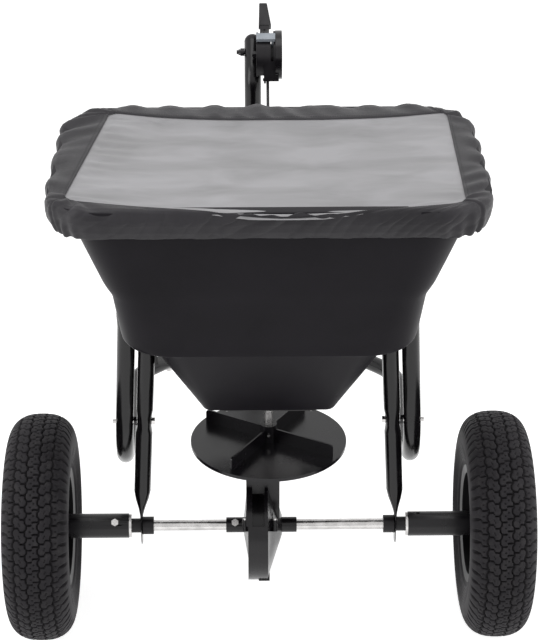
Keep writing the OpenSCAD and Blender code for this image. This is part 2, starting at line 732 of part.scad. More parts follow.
module frame_nuts() {
  for (side = [LEFT, RIGHT]) sideways(side) for (z = side_bolts)
    translate([-z, 0, wall_x(z) - hopper_wall - side_seat]) mirror([0, 0, 1]) nut(bolt_d);
  for (side = [LEFT, RIGHT], y = [-foot_bolt_y, foot_bolt_y])
    translate([side * foot_x(), y, shoulder_rise + hopper_wall]) nut(small_bolt_d);
  for (y = pad_bolts) sideways(LEFT) translate([-frame_rise, y, pad_x + pad_t / 2]) nut(bolt_d);
  for (side = [LEFT, RIGHT]) translate([side * cross_bolt_x, cross_y, frame_rise - frame_tube_d / 2])
    mirror([0, 0, 1]) nut(small_bolt_d);
  translate([0, cross_y, hitch_rise - hitch_tube_d / 2]) mirror([0, 0, 1]) nut(small_bolt_d);
  for (y = post_bolts) sideways(LEFT) translate([-hitch_rise, y, hitch_tube_d / 2 + pad_t]) nut(small_bolt_d);
  for (y = clevis_bolts) translate([0, y, hitch_rise - hitch_tube_d / 2 - clevis_t]) mirror([0, 0, 1])
    nut(bolt_d);
}

// DRAWBAR

hitch_tube_start = cross_y - cross_w / 2;
hitch_wall = 2;
clevis_bolts = [hitch_tube_end - clevis_back + 18, hitch_tube_end - 18];

module hitch_tube() {
  color("#1f1c20") difference() {
    translate([0, hitch_tube_start, hitch_rise]) rotate([-90, 0, 0])
      ring(hitch_tube_d, hitch_tube_d - 2 * hitch_wall, hitch_tube_end - hitch_tube_start);
    for (y = pad_bolts) bore_x(0, y, frame_rise, bolt_d);
    for (y = post_bolts) bore_x(0, y, hitch_rise, small_bolt_d);
    for (y = clevis_bolts) bore_z(0, y, hitch_rise, bolt_d);
    bore_z(0, cross_y, hitch_rise, small_bolt_d);
  }
}

// Clevis: two plates with rounded noses, joined by a web at the end of the hitch tube
module hitch_clevis() {
  back = hitch_tube_end - clevis_back;
  color("#1f1c20") difference() {
    union() {
      for (side = [0, 1]) mirror([0, 0, side])
        translate([0, 0, hitch_tube_d / 2 - (side * 2 - 1) * hitch_rise]) union() {
          translate([-clevis_w / 2, back, 0]) cube([clevis_w, hitch_y - back, clevis_t]);
          translate([0, hitch_y, 0]) cylinder(d = clevis_w, h = clevis_t);
        }
      translate([-clevis_w / 2, hitch_tube_end, hitch_rise - hitch_tube_d / 2 - eps])
        cube([clevis_w, clevis_t, hitch_tube_d + 2 * eps]);
    }
    translate([0, hitch_y, hitch_rise]) cylinder(d = hitch_hole_d, h = 3 * hitch_tube_d, center = true);
    for (y = clevis_bolts) bore_z(0, y, hitch_rise, bolt_d);
  }
}

module crossover_bar() {
  half = cross_bolt_x + cross_w / 2;
  color("#1f1c20") difference() {
    translate([-half, cross_y - cross_w / 2, cross_top]) cube([2 * half, cross_w, cross_t]);
    for (x = [-cross_bolt_x, 0, cross_bolt_x]) bore_z(x, cross_y, cross_top, small_bolt_d);
  }
}

// HOPPER

corner_steps = 6;
// Closed outline of a box with round corners at one rise
function box_ring(hx, hy, r, rise) = [
  for (q = [0 : 3]) for (i = [0 : corner_steps])
    let (a = 90 * q + 90 * i / corner_steps, sx = (q == 0 || q == 3) ? 1 : -1, sy = q < 2 ? 1 : -1)
      [sx * (hx - r) + r * cos(a), sy * (hy - r) + r * sin(a), rise]
];
rim_corner = 52;
kink_corner = 44;
lower_corner = 50;
funnel_corner = 44;
outlet_corner = 14;
flange_t = 3.5;

hopper_outside = [
  box_ring(outlet_hx, outlet_hy, outlet_corner, floor_rise),
  box_ring(funnel_hx, lower_hy - 3, funnel_corner, shoulder_rise),
  box_ring(lower_hx - corner_r, lower_hy - 2, lower_corner, shoulder_rise),
  box_ring(lower_hx - corner_r * 0.5, lower_hy - 1.5, lower_corner, shoulder_rise + corner_r * 0.13),
  box_ring(lower_hx - corner_r * 0.13, lower_hy - 1, lower_corner, shoulder_rise + corner_r * 0.5),
  box_ring(lower_hx, lower_hy, lower_corner, shoulder_rise + corner_r),
  box_ring(kink_hx, kink_hy, kink_corner, kink_rise),
  box_ring(rim_hx, rim_hy, rim_corner, rim_rise - flange_t),
  box_ring(rim_hx + flange_w - flange_t, rim_hy + flange_w - flange_t, rim_corner + flange_w, rim_rise - flange_t),
  box_ring(rim_hx + flange_w - flange_t, rim_hy + flange_w - flange_t, rim_corner + flange_w, rim_rise - flange_lip),
  box_ring(rim_hx + flange_w, rim_hy + flange_w, rim_corner + flange_w, rim_rise - flange_lip),
  box_ring(rim_hx + flange_w, rim_hy + flange_w, rim_corner + flange_w, rim_rise)
];
w = hopper_wall;
hopper_inside = [
  box_ring(rim_hx - w, rim_hy - w, rim_corner - w, rim_rise),
  box_ring(kink_hx - w, kink_hy - w, kink_corner - w, kink_rise),
  box_ring(lower_hx - w, lower_hy - w, lower_corner - w, shoulder_rise + corner_r),
  box_ring(lower_hx - w - corner_r * 0.17, lower_hy - w - 1, lower_corner - w, shoulder_rise + corner_r * 0.5),
  box_ring(lower_hx - corner_r, lower_hy - w - 2, lower_corner - w, shoulder_rise + w),
  box_ring(funnel_hx - 1, lower_hy - w - 3, funnel_corner - w, shoulder_rise + w),
  box_ring(outlet_hx - 1, outlet_hy - w, outlet_corner - w, floor_rise + w)
];

module hopper() {
  color("#343236") difference() {
    ring_stack(concat(hopper_outside, hopper_inside));
    translate([0, 0, floor_rise - 1]) cylinder(d = floor_bush_d + 2 * press_gap, h = w + 2);
    for (side = [LEFT, RIGHT]) translate([side * port_x - port_w / 2, port_start, floor_rise - 1])
      cube([port_w, port_len, w + 2]);
    for (p = guide_screw_spots) bore_z(p[0], p[1], floor_rise, screw_d);
    for (side = [LEFT, RIGHT], z = side_bolts) bore_x(side * lower_hx, 0, z, bolt_d);
    for (side = [LEFT, RIGHT], y = [-foot_bolt_y, foot_bolt_y])
      bore_z(side * foot_x(), y, shoulder_rise, small_bolt_d);
  }
}

// Small steel brace from the left support tube to the hopper's funnel
brace_rise = shoulder_rise - 68;
brace_t = 3;
brace_w = 24;
function funnel_x(rise) = outlet_hx + (funnel_hx - outlet_hx) * (rise - floor_rise) / funnel_h;
module hopper_brace() {
  low = brace_rise - 10;
  tube_face = support_axis(low) - support_r / cos(support_lean);
  color("#3a383c") mirror([1, 0, 0]) difference() {
    union() {
      translate([tube_face, -brace_w / 2, low]) rotate([0, -support_lean, 0])
        translate([-brace_t, 0, 0]) cube([brace_t, brace_w, 26]);
      translate([funnel_x(low + brace_t) + 0.6, -brace_w / 2, low])
        cube([tube_face - brace_t / 2 - funnel_x(low + brace_t) - 0.6, brace_w, brace_t]);
    }
    bore_x(support_axis(brace_rise), 0, brace_rise, small_bolt_d);
  }
}

// COVER

cover_corner = rim_corner + flange_w + cover_gap + cover_t;
side_steps = 16;
front_steps = 26;
arc_steps = corner_steps;
gather_waves = 22;

// Outline of the cover with steps along its straight sides too, as [x, y, outward x, outward y]
function outline(hx, hy, r) = [
  for (q = [0 : 3]) each concat(
    [for (i = [0 : arc_steps - 1])
      let (a = 90 * q + 90 * i / arc_steps, sx = (q == 0 || q == 3) ? 1 : -1, sy = q < 2 ? 1 : -1)
        [sx * (hx - r) + r * cos(a), sy * (hy - r) + r * sin(a), cos(a), sin(a)]],
    [for (i = [0 : cover_edge(q) - 1]) let (s = i / cover_edge(q)) cover_straight(q, s, hx, hy, r)]
  )
];
function cover_edge(q) = (q == 0 || q == 2) ? front_steps : side_steps;
function cover_straight(q, s, hx, hy, r) =
  q == 0 ? [(hx - r) * (1 - 2 * s), hy, 0, 1] :
  q == 1 ? [-hx, (hy - r) * (1 - 2 * s), -1, 0] :
  q == 2 ? [-(hx - r) * (1 - 2 * s), -hy, 0, -1] :
       [hx, -(hy - r) * (1 - 2 * s), 1, 0];

// Ring of the cover: pushed out by push, with gathers of the given depth
function cover_ring(hx, hy, r, rise, depth) = [
  for (i = [0 : len(cover_line) - 1]) let (p = outline(hx, hy, r)[i], b = depth * gather_wave(i))
    [p[0] + b * p[2], p[1] + b * p[3], rise]
];
cover_line = outline(cover_hx, cover_hy, cover_corner);
function gather_wave(i) = (sin(360 * gather_waves * i / len(cover_line) + 40) +
  0.5 * sin(360 * 9 * i / len(cover_line))) / 1.5;

inner_hx = cover_hx - cover_t;
inner_hy = cover_hy - cover_t;
inner_corner = cover_corner - cover_t;
cover_low = rim_rise - skirt_h;
hem_in = 7;
cover_top = rim_rise + cover_gap + window_t + cover_t;
window_corner = 16;

module rain_cover() {
  color("#2f2d31") ring_stack(reversed([
    cover_ring(window_hx, window_hy, window_corner, cover_top - cover_t, 0),
    cover_ring(window_hx, window_hy, window_corner, cover_top - 0.4, 0),
    cover_ring(cover_hx - 8, cover_hy - 8, cover_corner - 8, cover_top, 0),
    cover_ring(cover_hx - 1.4, cover_hy - 1.4, cover_corner - 1.4, cover_top - 2.4, gather * 0.3),
    cover_ring(cover_hx, cover_hy, cover_corner, cover_top - 9, 0),
    cover_ring(cover_hx - hem_in / 2, cover_hy - hem_in / 2, cover_corner - hem_in / 2,
      cover_low + 10, gather),
    cover_ring(cover_hx - hem_in, cover_hy - hem_in, cover_corner - hem_in, cover_low, gather),
    cover_ring(inner_hx - hem_in, inner_hy - hem_in, inner_corner - hem_in, cover_low, gather),
    cover_ring(inner_hx - hem_in / 2 + 1, inner_hy - hem_in / 2 + 1, inner_corner - hem_in / 2 + 1,
      cover_low + 14, gather * 0.4),
    cover_ring(inner_hx, inner_hy, inner_corner, rim_rise - flange_lip - 4, 0),
    cover_ring(inner_hx, inner_hy, inner_corner, cover_top - cover_t, 0)
  ]), true);
}

// Film of the window, under the fabric at its edge and sagging towards its middle
module cover_window() {
  hx = window_hx + window_lap;
  hy = window_hy + window_lap;
  top = cover_top - cover_t - soft_gap;
  function film(share, drop) = box_ring(hx * share, hy * share, window_corner * share, top - drop);
  shares = [[0.3, 1], [0.7, 0.62], [0.86, 0.2], [0.93, 0], [1, 0]];
  color("#aaaaac") ring_stack(concat(
    [for (s = shares) film(s[0], window_sag * s[1] + window_t)],
    [for (s = reversed(shares)) film(s[0], window_sag * s[1])]
  ));
}

// GATE UNDER THE FLOOR

gate_play = 0.4;
port_x = 14 + port_w / 2;
gate_travel = 2 * arm_len * sin(lever_swing / 2);
gate_top = floor_rise - gate_play;
window_start = port_start - gate_travel;
gate_back = window_start - 12;
notch_w = shaft_d + 4;
screw_d = 4;
guide_rail_w = 9;
guide_start = -outlet_hy + 6;
guide_end = outlet_hy - 1;
guide_screw_spots = [for (side = [LEFT, RIGHT]) for (y = [guide_start + 8, guide_end - 8])
  [side * (gate_hx + gate_play + guide_rail_w / 2), y]];
lug_y = 84;
lug_half = 9;
lug_t = 2.6;
lug_h = 18;
tongue_half = 14;
rod_low_rise = floor_rise + 8;
rod_dip = arm_len * (1 - cos(lever_swing / 2));

module slide_gate() {
  color("#c4c6c9") translate([0, 0, gate_top - gate_t]) difference() {
    union() {
      translate([-gate_hx, gate_back, 0]) cube([2 * gate_hx, guide_end + 4 - gate_back, gate_t]);
      translate([-tongue_half, guide_end, 0]) cube([2 * tongue_half, lug_y + lug_half - guide_end, gate_t]);
      translate([-lug_t / 2, lug_y - lug_half, 0]) cube([lug_t, 2 * lug_half, gate_t + lug_h]);
    }
    for (side = [LEFT, RIGHT]) translate([side * port_x - port_w / 2, window_start, -1])
      cube([port_w, port_len, gate_t + 2]);
    translate([-notch_w / 2, gate_back - 1, -1]) cube([notch_w, -gate_back + 1, gate_t + 2]);
    translate([0, 0, -1]) cylinder(d = notch_w, h = gate_t + 2);
    translate([-10, lug_y - rod_d / 2 - rod_play,
      rod_low_rise - gate_top + gate_t - rod_d / 2 - rod_play - rod_dip])
      cube([20, rod_d + 2 * rod_play, rod_d + 2 * rod_play + rod_dip]);
  }
}

module gate_guide() {
  drop = gate_play * 2 + gate_t;
  ledge_t = 2;
  rail_x = gate_hx + gate_play;
  color("#3a383c") difference() {
    union() {
      for (side = [0, 1]) mirror([side, 0, 0]) {
        translate([rail_x, guide_start, floor_rise - drop]) cube([guide_rail_w, guide_end - guide_start, drop]);
        translate([rail_x - 6, guide_start, floor_rise - drop - ledge_t])
          cube([guide_rail_w + 6, guide_end - guide_start, ledge_t]);
      }
      translate([-rail_x, guide_start, floor_rise - drop - ledge_t]) cube([2 * rail_x, 10, ledge_t]);
    }
    for (p = guide_screw_spots) bore_z(p[0], p[1], floor_rise, screw_d);
  }
}

module guide_screws() {
  drop = gate_play * 2 + gate_t + 2;
  color("#c9ccd0") for (p = guide_screw_spots) translate([p[0], p[1], floor_rise - drop]) union() {
    cylinder(d = screw_d, h = drop + w + 5);
    translate([0, 0, -2.4]) cylinder(d = screw_d * 2, h = 2.4);
  }
}

// GEAR CASING, SHAFT AND SPINNER

case_left = -36;
case_right = 19.5;
case_side = -30;
case_flange = -32.5;
recess_left = -24;
recess_right = -6;
case_edge = -1.5;
boss_r = 14.7;
cone_r = 69;
tower_right = 15.6;
tower_half = 22;
tower_rise = 136;
split_tilt = 30;
gear_pitch_r = gear_m * gear_teeth / 2;
pinion_pitch_r = gear_m * pinion_teeth / 2;
addendum = 0.8 * gear_m;
dedendum = 1.05 * gear_m;
gear_out_r = gear_pitch_r + tooth_w / 2;
recess_r = gear_out_r + 2.4 + case_wall;
cavity_r = recess_r - case_wall;

module case_cavity() {
  sideways(RIGHT) rotate_extrude() polygon([[0, case_side + case_wall], [cavity_r, case_side + case_wall],
    [cavity_r, case_edge - case_wall + 1], [cavity_r - 3, -1.8], [27, 11.6], [0, 11.6]]);
  cylinder(r = pinion_pitch_r + addendum + 1, h = gear_out_r + 6);
}

// Body of revolution about the axle, with the given rim between its two cones
module case_shell(rim) {
  sideways(RIGHT) rotate_extrude($fn = 96) polygon(concat([[0, case_left], [boss_r, case_left]], rim,
    [[case_r, case_edge], [cone_r, 1], [boss_r, case_right], [0, case_right]]));
}

module case_bores() {
  rotate([0, 90, 0]) cylinder(d = sleeve_d + 2 * run_gap, h = 4 * case_r, center = true);
  cylinder(d = case_bush_d + 2 * press_gap, h = 2 * tower_rise);
}

module upper_half_space() {
  rotate([-split_tilt, 0, 0]) translate([-2 * case_r, -2 * case_r, 0]) cube(4 * case_r);
}

case_screw_d = 4;
case_boss_d = 9;
case_boss_h = 8;
case_screw_spots = [[8, 58], [8, -58], [-34, 40], [-34, -40]];
module case_bosses() {
  rotate([-split_tilt, 0, 0]) for (p = case_screw_spots) translate([p[0], p[1], 0])
    cylinder(d = case_boss_d, h = 2 * case_boss_h, center = true);
}
module case_screw_holes() {
  rotate([-split_tilt, 0, 0]) for (p = case_screw_spots) translate([p[0], p[1], 0])
    cylinder(d = case_screw_d + hole_gap, h = 4 * case_boss_h, center = true);
}

// Pockets that let the screws' heads down to the bosses
module case_screw_seats() {
  rotate([-split_tilt, 0, 0]) for (p = case_screw_spots) translate([p[0], p[1], case_boss_h])
    cylinder(d = 2 * case_screw_d + 1, h = 2 * case_boss_h);
}

module gearbox_upper() {
  color("#2b292c") difference() {
    intersection() {
      union() {
        case_shell([[45, case_flange], [case_r, case_flange], [case_r, recess_left],
          [recess_r, recess_left], [recess_r, recess_right], [case_r, recess_right]]);
        translate([case_flange, -tower_half, 0])
          cube([tower_right - case_flange, 2 * tower_half, tower_rise]);
        case_bosses();
      }
      upper_half_space();
    }
    case_cavity();
    case_bores();
    case_screw_holes();
    case_screw_seats();
  }
}

module gearbox_lower() {
  color("#2b292c") difference() {
    union() {
      case_shell([[49, case_side], [case_r, case_side]]);
      case_bosses();
      rotate([-35, 0, 0]) translate([-15, -8, -case_r - 2]) cube([16, 16, 12]);
    }
    upper_half_space();
    case_cavity();
    case_bores();
    case_screw_holes();
  }
}

module gearbox_screws() {
  color("#c9ccd0") rotate([-split_tilt, 0, 0]) for (p = case_screw_spots)
    translate([p[0], p[1], case_boss_h]) union() {
      translate([0, 0, -1.6 * case_boss_h]) cylinder(d = case_screw_d, h = 1.6 * case_boss_h);
      cylinder(d = 2 * case_screw_d, h = 2.4);
    }
}

module gear_sleeve() {
  color("#232125") difference() {
    translate([-sleeve_left, 0, 0]) rotate([0, 90, 0])
      ring(sleeve_d, axle_d + 2 * run_gap, sleeve_left + sleeve_right);
    sideways(LEFT) translate([0, 0, sleeve_bolt_x]) cross_axis(LEFT)
      cylinder(d = small_bolt_d + hole_gap, h = 2 * sleeve_d, center = true);
  }
}

tooth_a = 25;
backlash = 0.5;
tooth_half = gear_m * PI / 4 - backlash / 2;
gear_hub_d = 40;

// Face gear: a disc on the sleeve with straight radial teeth that face the pinion
module face_gear() {
  root_x = -pinion_pitch_r - dedendum;
  tip_x = -pinion_pitch_r + addendum;
  plate_t = 4;
  rise = tan(tooth_a);
  color("#b9b6ac") difference() {
    union() {
      translate([root_x - plate_t, 0, 0]) rotate([0, 90, 0]) cylinder(r = gear_out_r, h = plate_t);
      translate([case_side + case_wall + 1, 0, 0]) rotate([0, 90, 0])
        cylinder(d = gear_hub_d, h = root_x - case_side - case_wall - 1);
      for (i = [0 : gear_teeth - 1]) rotate([360 * i / gear_teeth, 0, 0])
        translate([0, 0, gear_pitch_r - tooth_w / 2]) linear_extrude(tooth_w - 0.2)
          polygon([[root_x - 0.5, -tooth_half - dedendum * rise], [root_x - 0.5, tooth_half + dedendum * rise],
            [root_x, tooth_half + dedendum * rise], [tip_x, tooth_half - addendum * rise],
            [tip_x, -tooth_half + addendum * rise], [root_x, -tooth_half - dedendum * rise]]);
    }
    rotate([0, 90, 0]) cylinder(d = sleeve_d + 2 * press_gap, h = 4 * case_r, center = true);
  }
}

// Involute flank of the pinion, turned so that the tooth's middle is on the X axis
base_r = pinion_pitch_r * cos(tooth_a);
function inv(t) = tan(t) - t * PI / 180;
function flank_half(r) = deg(tooth_half / pinion_pitch_r + inv(tooth_a) - (r > base_r ? inv(acos(base_r / r)) : 0));
pinion_root = pinion_pitch_r - dedendum;
pinion_tip = pinion_pitch_r + addendum;
flank_radii = [for (i = [0 : 5]) max(pinion_root, base_r) + (pinion_tip - max(pinion_root, base_r)) * i / 5];

module pinion() {
  color("#b9b6ac") translate([0, 0, gear_pitch_r - tooth_w / 2 + 0.5]) difference() {
    linear_extrude(tooth_w - 1) union() {
      circle(r = pinion_root);
      for (k = [0 : pinion_teeth - 1]) rotate((k + 0.5) * 360 / pinion_teeth) polygon(concat(
        [[pinion_root * 0.8, -tooth_half * 0.8]],
        [for (r = flank_radii) [r * cos(flank_half(r)), -r * sin(flank_half(r))]],
        [for (r = reversed(flank_radii)) [r * cos(flank_half(r)), r * sin(flank_half(r))]],
        [[pinion_root * 0.8, tooth_half * 0.8]]));
    }
    translate([0, 0, -1]) cylinder(d = shaft_d + 2 * press_gap, h = tooth_w + 2);
  }
}

shaft_low = gear_pitch_r - tooth_w / 2 - 5;
shaft_high = floor_rise + 62;
pin_d = 4;
hub_high = vane_h + 6;
agitator_rise = floor_rise + 38;
spinner_hub_d = 30;

module impeller_shaft() {
  color("#cfcdca") difference() {
    translate([0, 0, shaft_low]) cylinder(d = shaft_d, h = shaft_high - shaft_low);
    for (z = shaft_pin_rises) translate([0, 0, z]) rotate([90, 0, 0])
      cylinder(d = pin_d + 2 * press_gap, h = 40, center = true);
    translate([0, 0, agitator_rise]) rotate([0, 90, 0])
      cylinder(d = agitator_d + 2 * thread_gap, h = 40, center = true);
  }
}

hub_pin_rise = spinner_rise + hub_high / 2;
shaft_pin_rises = [hub_pin_rise, floor_rise + w + 8];
agitator_d = 4;
case_bush_d = shaft_d + 5;
floor_bush_d = shaft_d + 5;

module shaft_pins() {
  color("#c9ccd0") {
    translate([0, 0, hub_pin_rise]) rotate([90, 0, 0])
      cylinder(d = pin_d, h = spinner_hub_d - 1, center = true);
    translate([0, 0, floor_rise + w + 8]) rotate([90, 0, 0]) cylinder(d = pin_d, h = 26, center = true);
  }
}

// Plain bushings: one in the casing's tower and one in the hopper's floor
module shaft_bushings() {
  tower_low = gear_out_r + 6;
  color("#e4e2da") {
    translate([0, 0, tower_low]) ring(case_bush_d, shaft_d + 2 * run_gap, tower_rise - tower_low);
    translate([0, 0, floor_rise - eps]) ring(floor_bush_d, shaft_d + 2 * run_gap, w + 1.5);
    translate([0, 0, floor_rise + w]) ring(floor_bush_d + 8, shaft_d + 2 * run_gap, 1.5);
  }
}

spinner_skirt = 5;
vane_turn = 59;
vane_gap = 7;
module impeller() {
  under = spinner_rise - spinner_t;
  color("#19171b") difference() {
    union() {
      translate([0, 0, under]) cylinder(d = spinner_d, h = spinner_t, $fn = 96);
      translate([0, 0, under - spinner_skirt + spinner_t])
        ring(spinner_d, spinner_d - 2 * spinner_t, spinner_skirt);
      translate([0, 0, tower_rise + 0.6]) cylinder(d = spinner_hub_d, h = under - tower_rise);
      translate([0, 0, under]) cylinder(d = spinner_hub_d * 0.8, h = spinner_t + hub_high);
      for (i = [0 : vane_n - 1]) rotate([0, 0, vane_turn + 360 * i / vane_n]) vane();
    }
    translate([0, 0, 0]) cylinder(d = shaft_d + 2 * press_gap, h = 3 * spinner_rise);
    translate([0, 0, hub_pin_rise]) rotate([90, 0, 0])
      cylinder(d = pin_d + 2 * press_gap, h = 40, center = true);
  }
}

module vane() {
  reach = spinner_d / 2 - vane_gap;
  corner = 5;
  translate([0, vane_t / 2, spinner_rise - 0.5]) rotate([90, 0, 0]) linear_extrude(vane_t) union() {
    square([reach, vane_h + 0.5 - corner]);
    square([reach - corner, vane_h + 0.5]);
    translate([reach - corner, vane_h + 0.5 - corner]) circle(r = corner, $fn = 32);
  }
}

agitator_reach = 34;
module agitator() {
  color("#cfcdca") translate([0, 0, agitator_rise]) union() {
    rotate([0, 90, 0]) cylinder(d = agitator_d, h = 2 * agitator_reach, center = true);
    for (side = [LEFT, RIGHT]) {
      translate([side * agitator_reach, 0, 0]) sphere(d = agitator_d, $fn = 24);
      translate([side * agitator_reach, 0, 0]) rotate([side > 0 ? 0 : 180, 0, 0])
        cylinder(d = agitator_d, h = 18);
    }
  }
}

// CONTROL

post_x = -pad_x;
post_bolts = [post_y - 9, post_y + 9];
post_foot = hitch_rise + 34;
pivot_y = post_y + pivot_fwd;
clamp_along = 26;
clamp_y = post_y + post_bend_r * (1 - cos(post_bend_a)) + clamp_along * sin(post_bend_a);
clamp_rise = post_bend_rise + post_bend_r * sin(post_bend_a) + clamp_along * cos(post_bend_a);
post_right = post_x + post_d / 2;
ear_t = 3.5;
ear_left = post_right + 0.1;
pod_left = -13;
pod_right = 16;
cheek_t = 3;
arm_rest_a = -90 - lever_swing / 2;

post_steps = 6;
post_dir = [0, sin(post_bend_a), cos(post_bend_a)];
post_bend_end = [post_x, post_y + post_bend_r * (1 - cos(post_bend_a)),
  post_bend_rise + post_bend_r * sin(post_bend_a)];
function post_flat(z, share) =
  station([post_x, post_y, z], across, [0, 1, 0], pad_t / 2, post_flat_half * share, pad_power);
function post_top_station(along) = round_station(post_bend_end + along * post_dir, across,
  [0, cos(post_bend_a), -sin(post_bend_a)], post_d);
post_stations = concat(
  [post_flat(hitch_rise - 16, 0.6), post_flat(hitch_rise - 13, 0.85), post_flat(hitch_rise - 7, 1),
    post_flat(post_foot - 16, 1)],
  [station([post_x, post_y, post_foot - 7], across, [0, 1, 0], post_d * 0.3, post_d * 0.6, 2.6)],
  [round_station([post_x, post_y, post_foot], across, [0, 1, 0], post_d)],
  [for (i = [0 : post_steps]) let (t = post_bend_a * i / post_steps)
    round_station([post_x, post_y + post_bend_r * (1 - cos(t)), post_bend_rise + post_bend_r * sin(t)],
      across, [0, cos(t), -sin(t)], post_d)],
  [post_top_station(post_top_len)]
);

module control_post() {
  color("#1f1c20") difference() {
    swept_tube(post_stations, [post_top_station(post_top_len + 3)]);
    for (y = post_bolts) bore_x(post_x, y, hitch_rise, small_bolt_d);
    bore_x(post_x, clamp_y, clamp_rise, small_bolt_d);
  }
}

module post_cap() {
  color("#2a282c") translate([post_x, post_y, post_bend_rise]) rotate([0, 0, 90])
    after_bend(post_bend_r, post_bend_a) translate([0, 0, post_top_len]) union() {
      intersection() {
        sphere(d = post_d, $fn = 48);
        translate([0, 0, post_d]) cube(2 * post_d, center = true);
      }
      translate([0, 0, -10]) cylinder(r = (post_d / 2 - tube_wall) * cos(180 / tube_sides) - press_gap, h = 10.5);
    }
}

// Disc sector across X between two walls, seen from the side
module pod_disc(x0, x1, r) {
  translate([x0, pivot_y, pivot_rise]) rotate([0, 90, 0]) cylinder(r = r, h = x1 - x0);
}

// Keeps a line at an angle over the level in the Y-Z plane, from the pivot
module from_pivot(a) {
  translate([0, pivot_y, pivot_rise]) rotate([a - 90, 0, 0]) children();
}

block_low = pivot_rise - 31;
block_right = 21;
block_left = -1.8;
shield_back = 22;
ratchet_n = 9;
ratchet_step = 8;
ratchet_h = 2;
shield_top = 19;
shield_in = 14;
leg_right = pod_right - cheek_t - 0.3;
leg_left = leg_right - 3;
leg_in = pod_r - 7;
module control_bracket() {
  color("#1b191c") difference() {
    union() {
      pod_disc(pod_left, pod_left + cheek_t, pod_r);
      pod_disc(pod_right - cheek_t, pod_right, pod_r);
      // Rear wall between the cheeks, open over the pivot where the stop's leg slides
      intersection() {
        difference() {
          pod_disc(pod_left, pod_right, pod_r);
          pod_disc(pod_left - 1, pod_right + 1, pod_r - cheek_t);
        }
        union() {
          translate([pod_left, pivot_y - 2 * pod_r, pivot_rise - 2 * pod_r])
            cube([pod_right - pod_left, 2 * pod_r - shield_back, 2 * pod_r]);
          translate([pod_left, pivot_y - 2 * pod_r, pivot_rise - 1])
            cube([leg_left - 1 - pod_left, 2 * pod_r - shield_top, 2 * pod_r]);
        }
      }
      // Inner wall behind the stop's leg
      intersection() {
        difference() {
          pod_disc(leg_left - 2, pod_right - 1, leg_in - 1);
          pod_disc(leg_left - 3, pod_right, leg_in - 1 - cheek_t);
        }
        translate([leg_left - 3, pivot_y - 2 * pod_r, pivot_rise - 8])
          cube([pod_right, 2 * pod_r - shield_in, 2 * pod_r]);
      }
      // Lower block that shields the end of the arm
      translate([pod_right - cheek_t, pivot_y - pod_r, block_low]) cube([cheek_t, 2 * pod_r - 4, 30]);
      translate([block_left, pivot_y - pod_r, block_low])
        cube([pod_right - block_left, cheek_t, pivot_rise - block_low]);
      translate([block_left, pivot_y - pod_r, block_low]) cube([block_right - block_left, cheek_t, 9.5]);
      // Ear on the right side of the post
      hull() {
        translate([ear_left, clamp_y, clamp_rise]) rotate([0, 90, 0])
          cylinder(d = 22, h = ear_t, $fn = 32);
        translate([ear_left, pivot_y, pivot_rise]) rotate([0, 90, 0])
          cylinder(d = 22, h = ear_t, $fn = 32);
      }
      pod_disc(pod_left, ear_left + ear_t, 8);
      // Teeth of the ratchet on the right cheek
      for (i = [0 : ratchet_n - 1]) from_pivot(handle_a + i * ratchet_step)
        translate([pod_right - cheek_t, -1.6, pod_r - 1]) cube([cheek_t, 3.2, ratchet_h + 1]);
    }
    post_clearance();
    bore_x(0, pivot_y, pivot_rise, small_bolt_d);
    bore_x(0, clamp_y, clamp_rise, small_bolt_d);
  }
}

// The post's two straights, run on past their crossing, with a little play round them
module post_clearance() {
  d = post_d + 1.4;
  over = post_bend_r * tan(post_bend_a / 2) + 6;
  translate([post_x, post_y, post_foot]) cylinder(d = d, h = post_bend_rise - post_foot + over);
  translate([post_x, post_y, post_bend_rise]) rotate([0, 0, 90]) after_bend(post_bend_r, post_bend_a)
    translate([0, 0, -over]) cylinder(d = d, h = post_top_len + over + post_d);
}

scale_r = 37;
scale_t = 1.5;
scale_lip = 8.5;
module scale_plate() {
  color("#4a484c") difference() {
    union() {
      pod_disc(pod_right + 0.05, pod_right + scale_t, scale_r);
      difference() {
        pod_disc(pod_right + 0.05, pod_right + scale_t + scale_lip, scale_r);
        pod_disc(pod_right - 1, pod_right + scale_t + scale_lip + 1, scale_r - scale_t);
      }
    }
    translate([0, pivot_y + 8, pivot_rise - 2 * scale_r]) cube([60, 2 * scale_r, 4 * scale_r]);
    bore_x(0, pivot_y, pivot_rise, small_bolt_d);
  }
}

module lever_pivot_bolt() {
  start = pod_right + scale_t;
  translate([start, pivot_y, pivot_rise]) rotate([0, -90, 0]) bolt(small_bolt_d, start - pod_left + small_bolt_d);
  translate([pod_left, pivot_y, pivot_rise]) rotate([0, -90, 0]) nut(small_bolt_d);
}

module clamp_bolt() {
  start = ear_left + ear_t;
  length = start - post_x + post_d / 2 + 12;
  color("#3a383c") translate([start, clamp_y, clamp_rise]) rotate([0, -90, 0]) bolt(small_bolt_d, length);
}

module wing_nut() {
  color("#3a383c") translate([post_x - post_d / 2 - 0.1, clamp_y, clamp_rise]) rotate([0, -90, 0])
    difference() {
      union() {
        cylinder(d = 12, h = 6);
        for (a = [90, 270]) rotate([0, 0, a]) translate([4, -1, 2]) cube([7, 2, 7]);
      }
      translate([0, 0, -1]) cylinder(d = small_bolt_d + 2 * thread_gap, h = 20);
    }
}

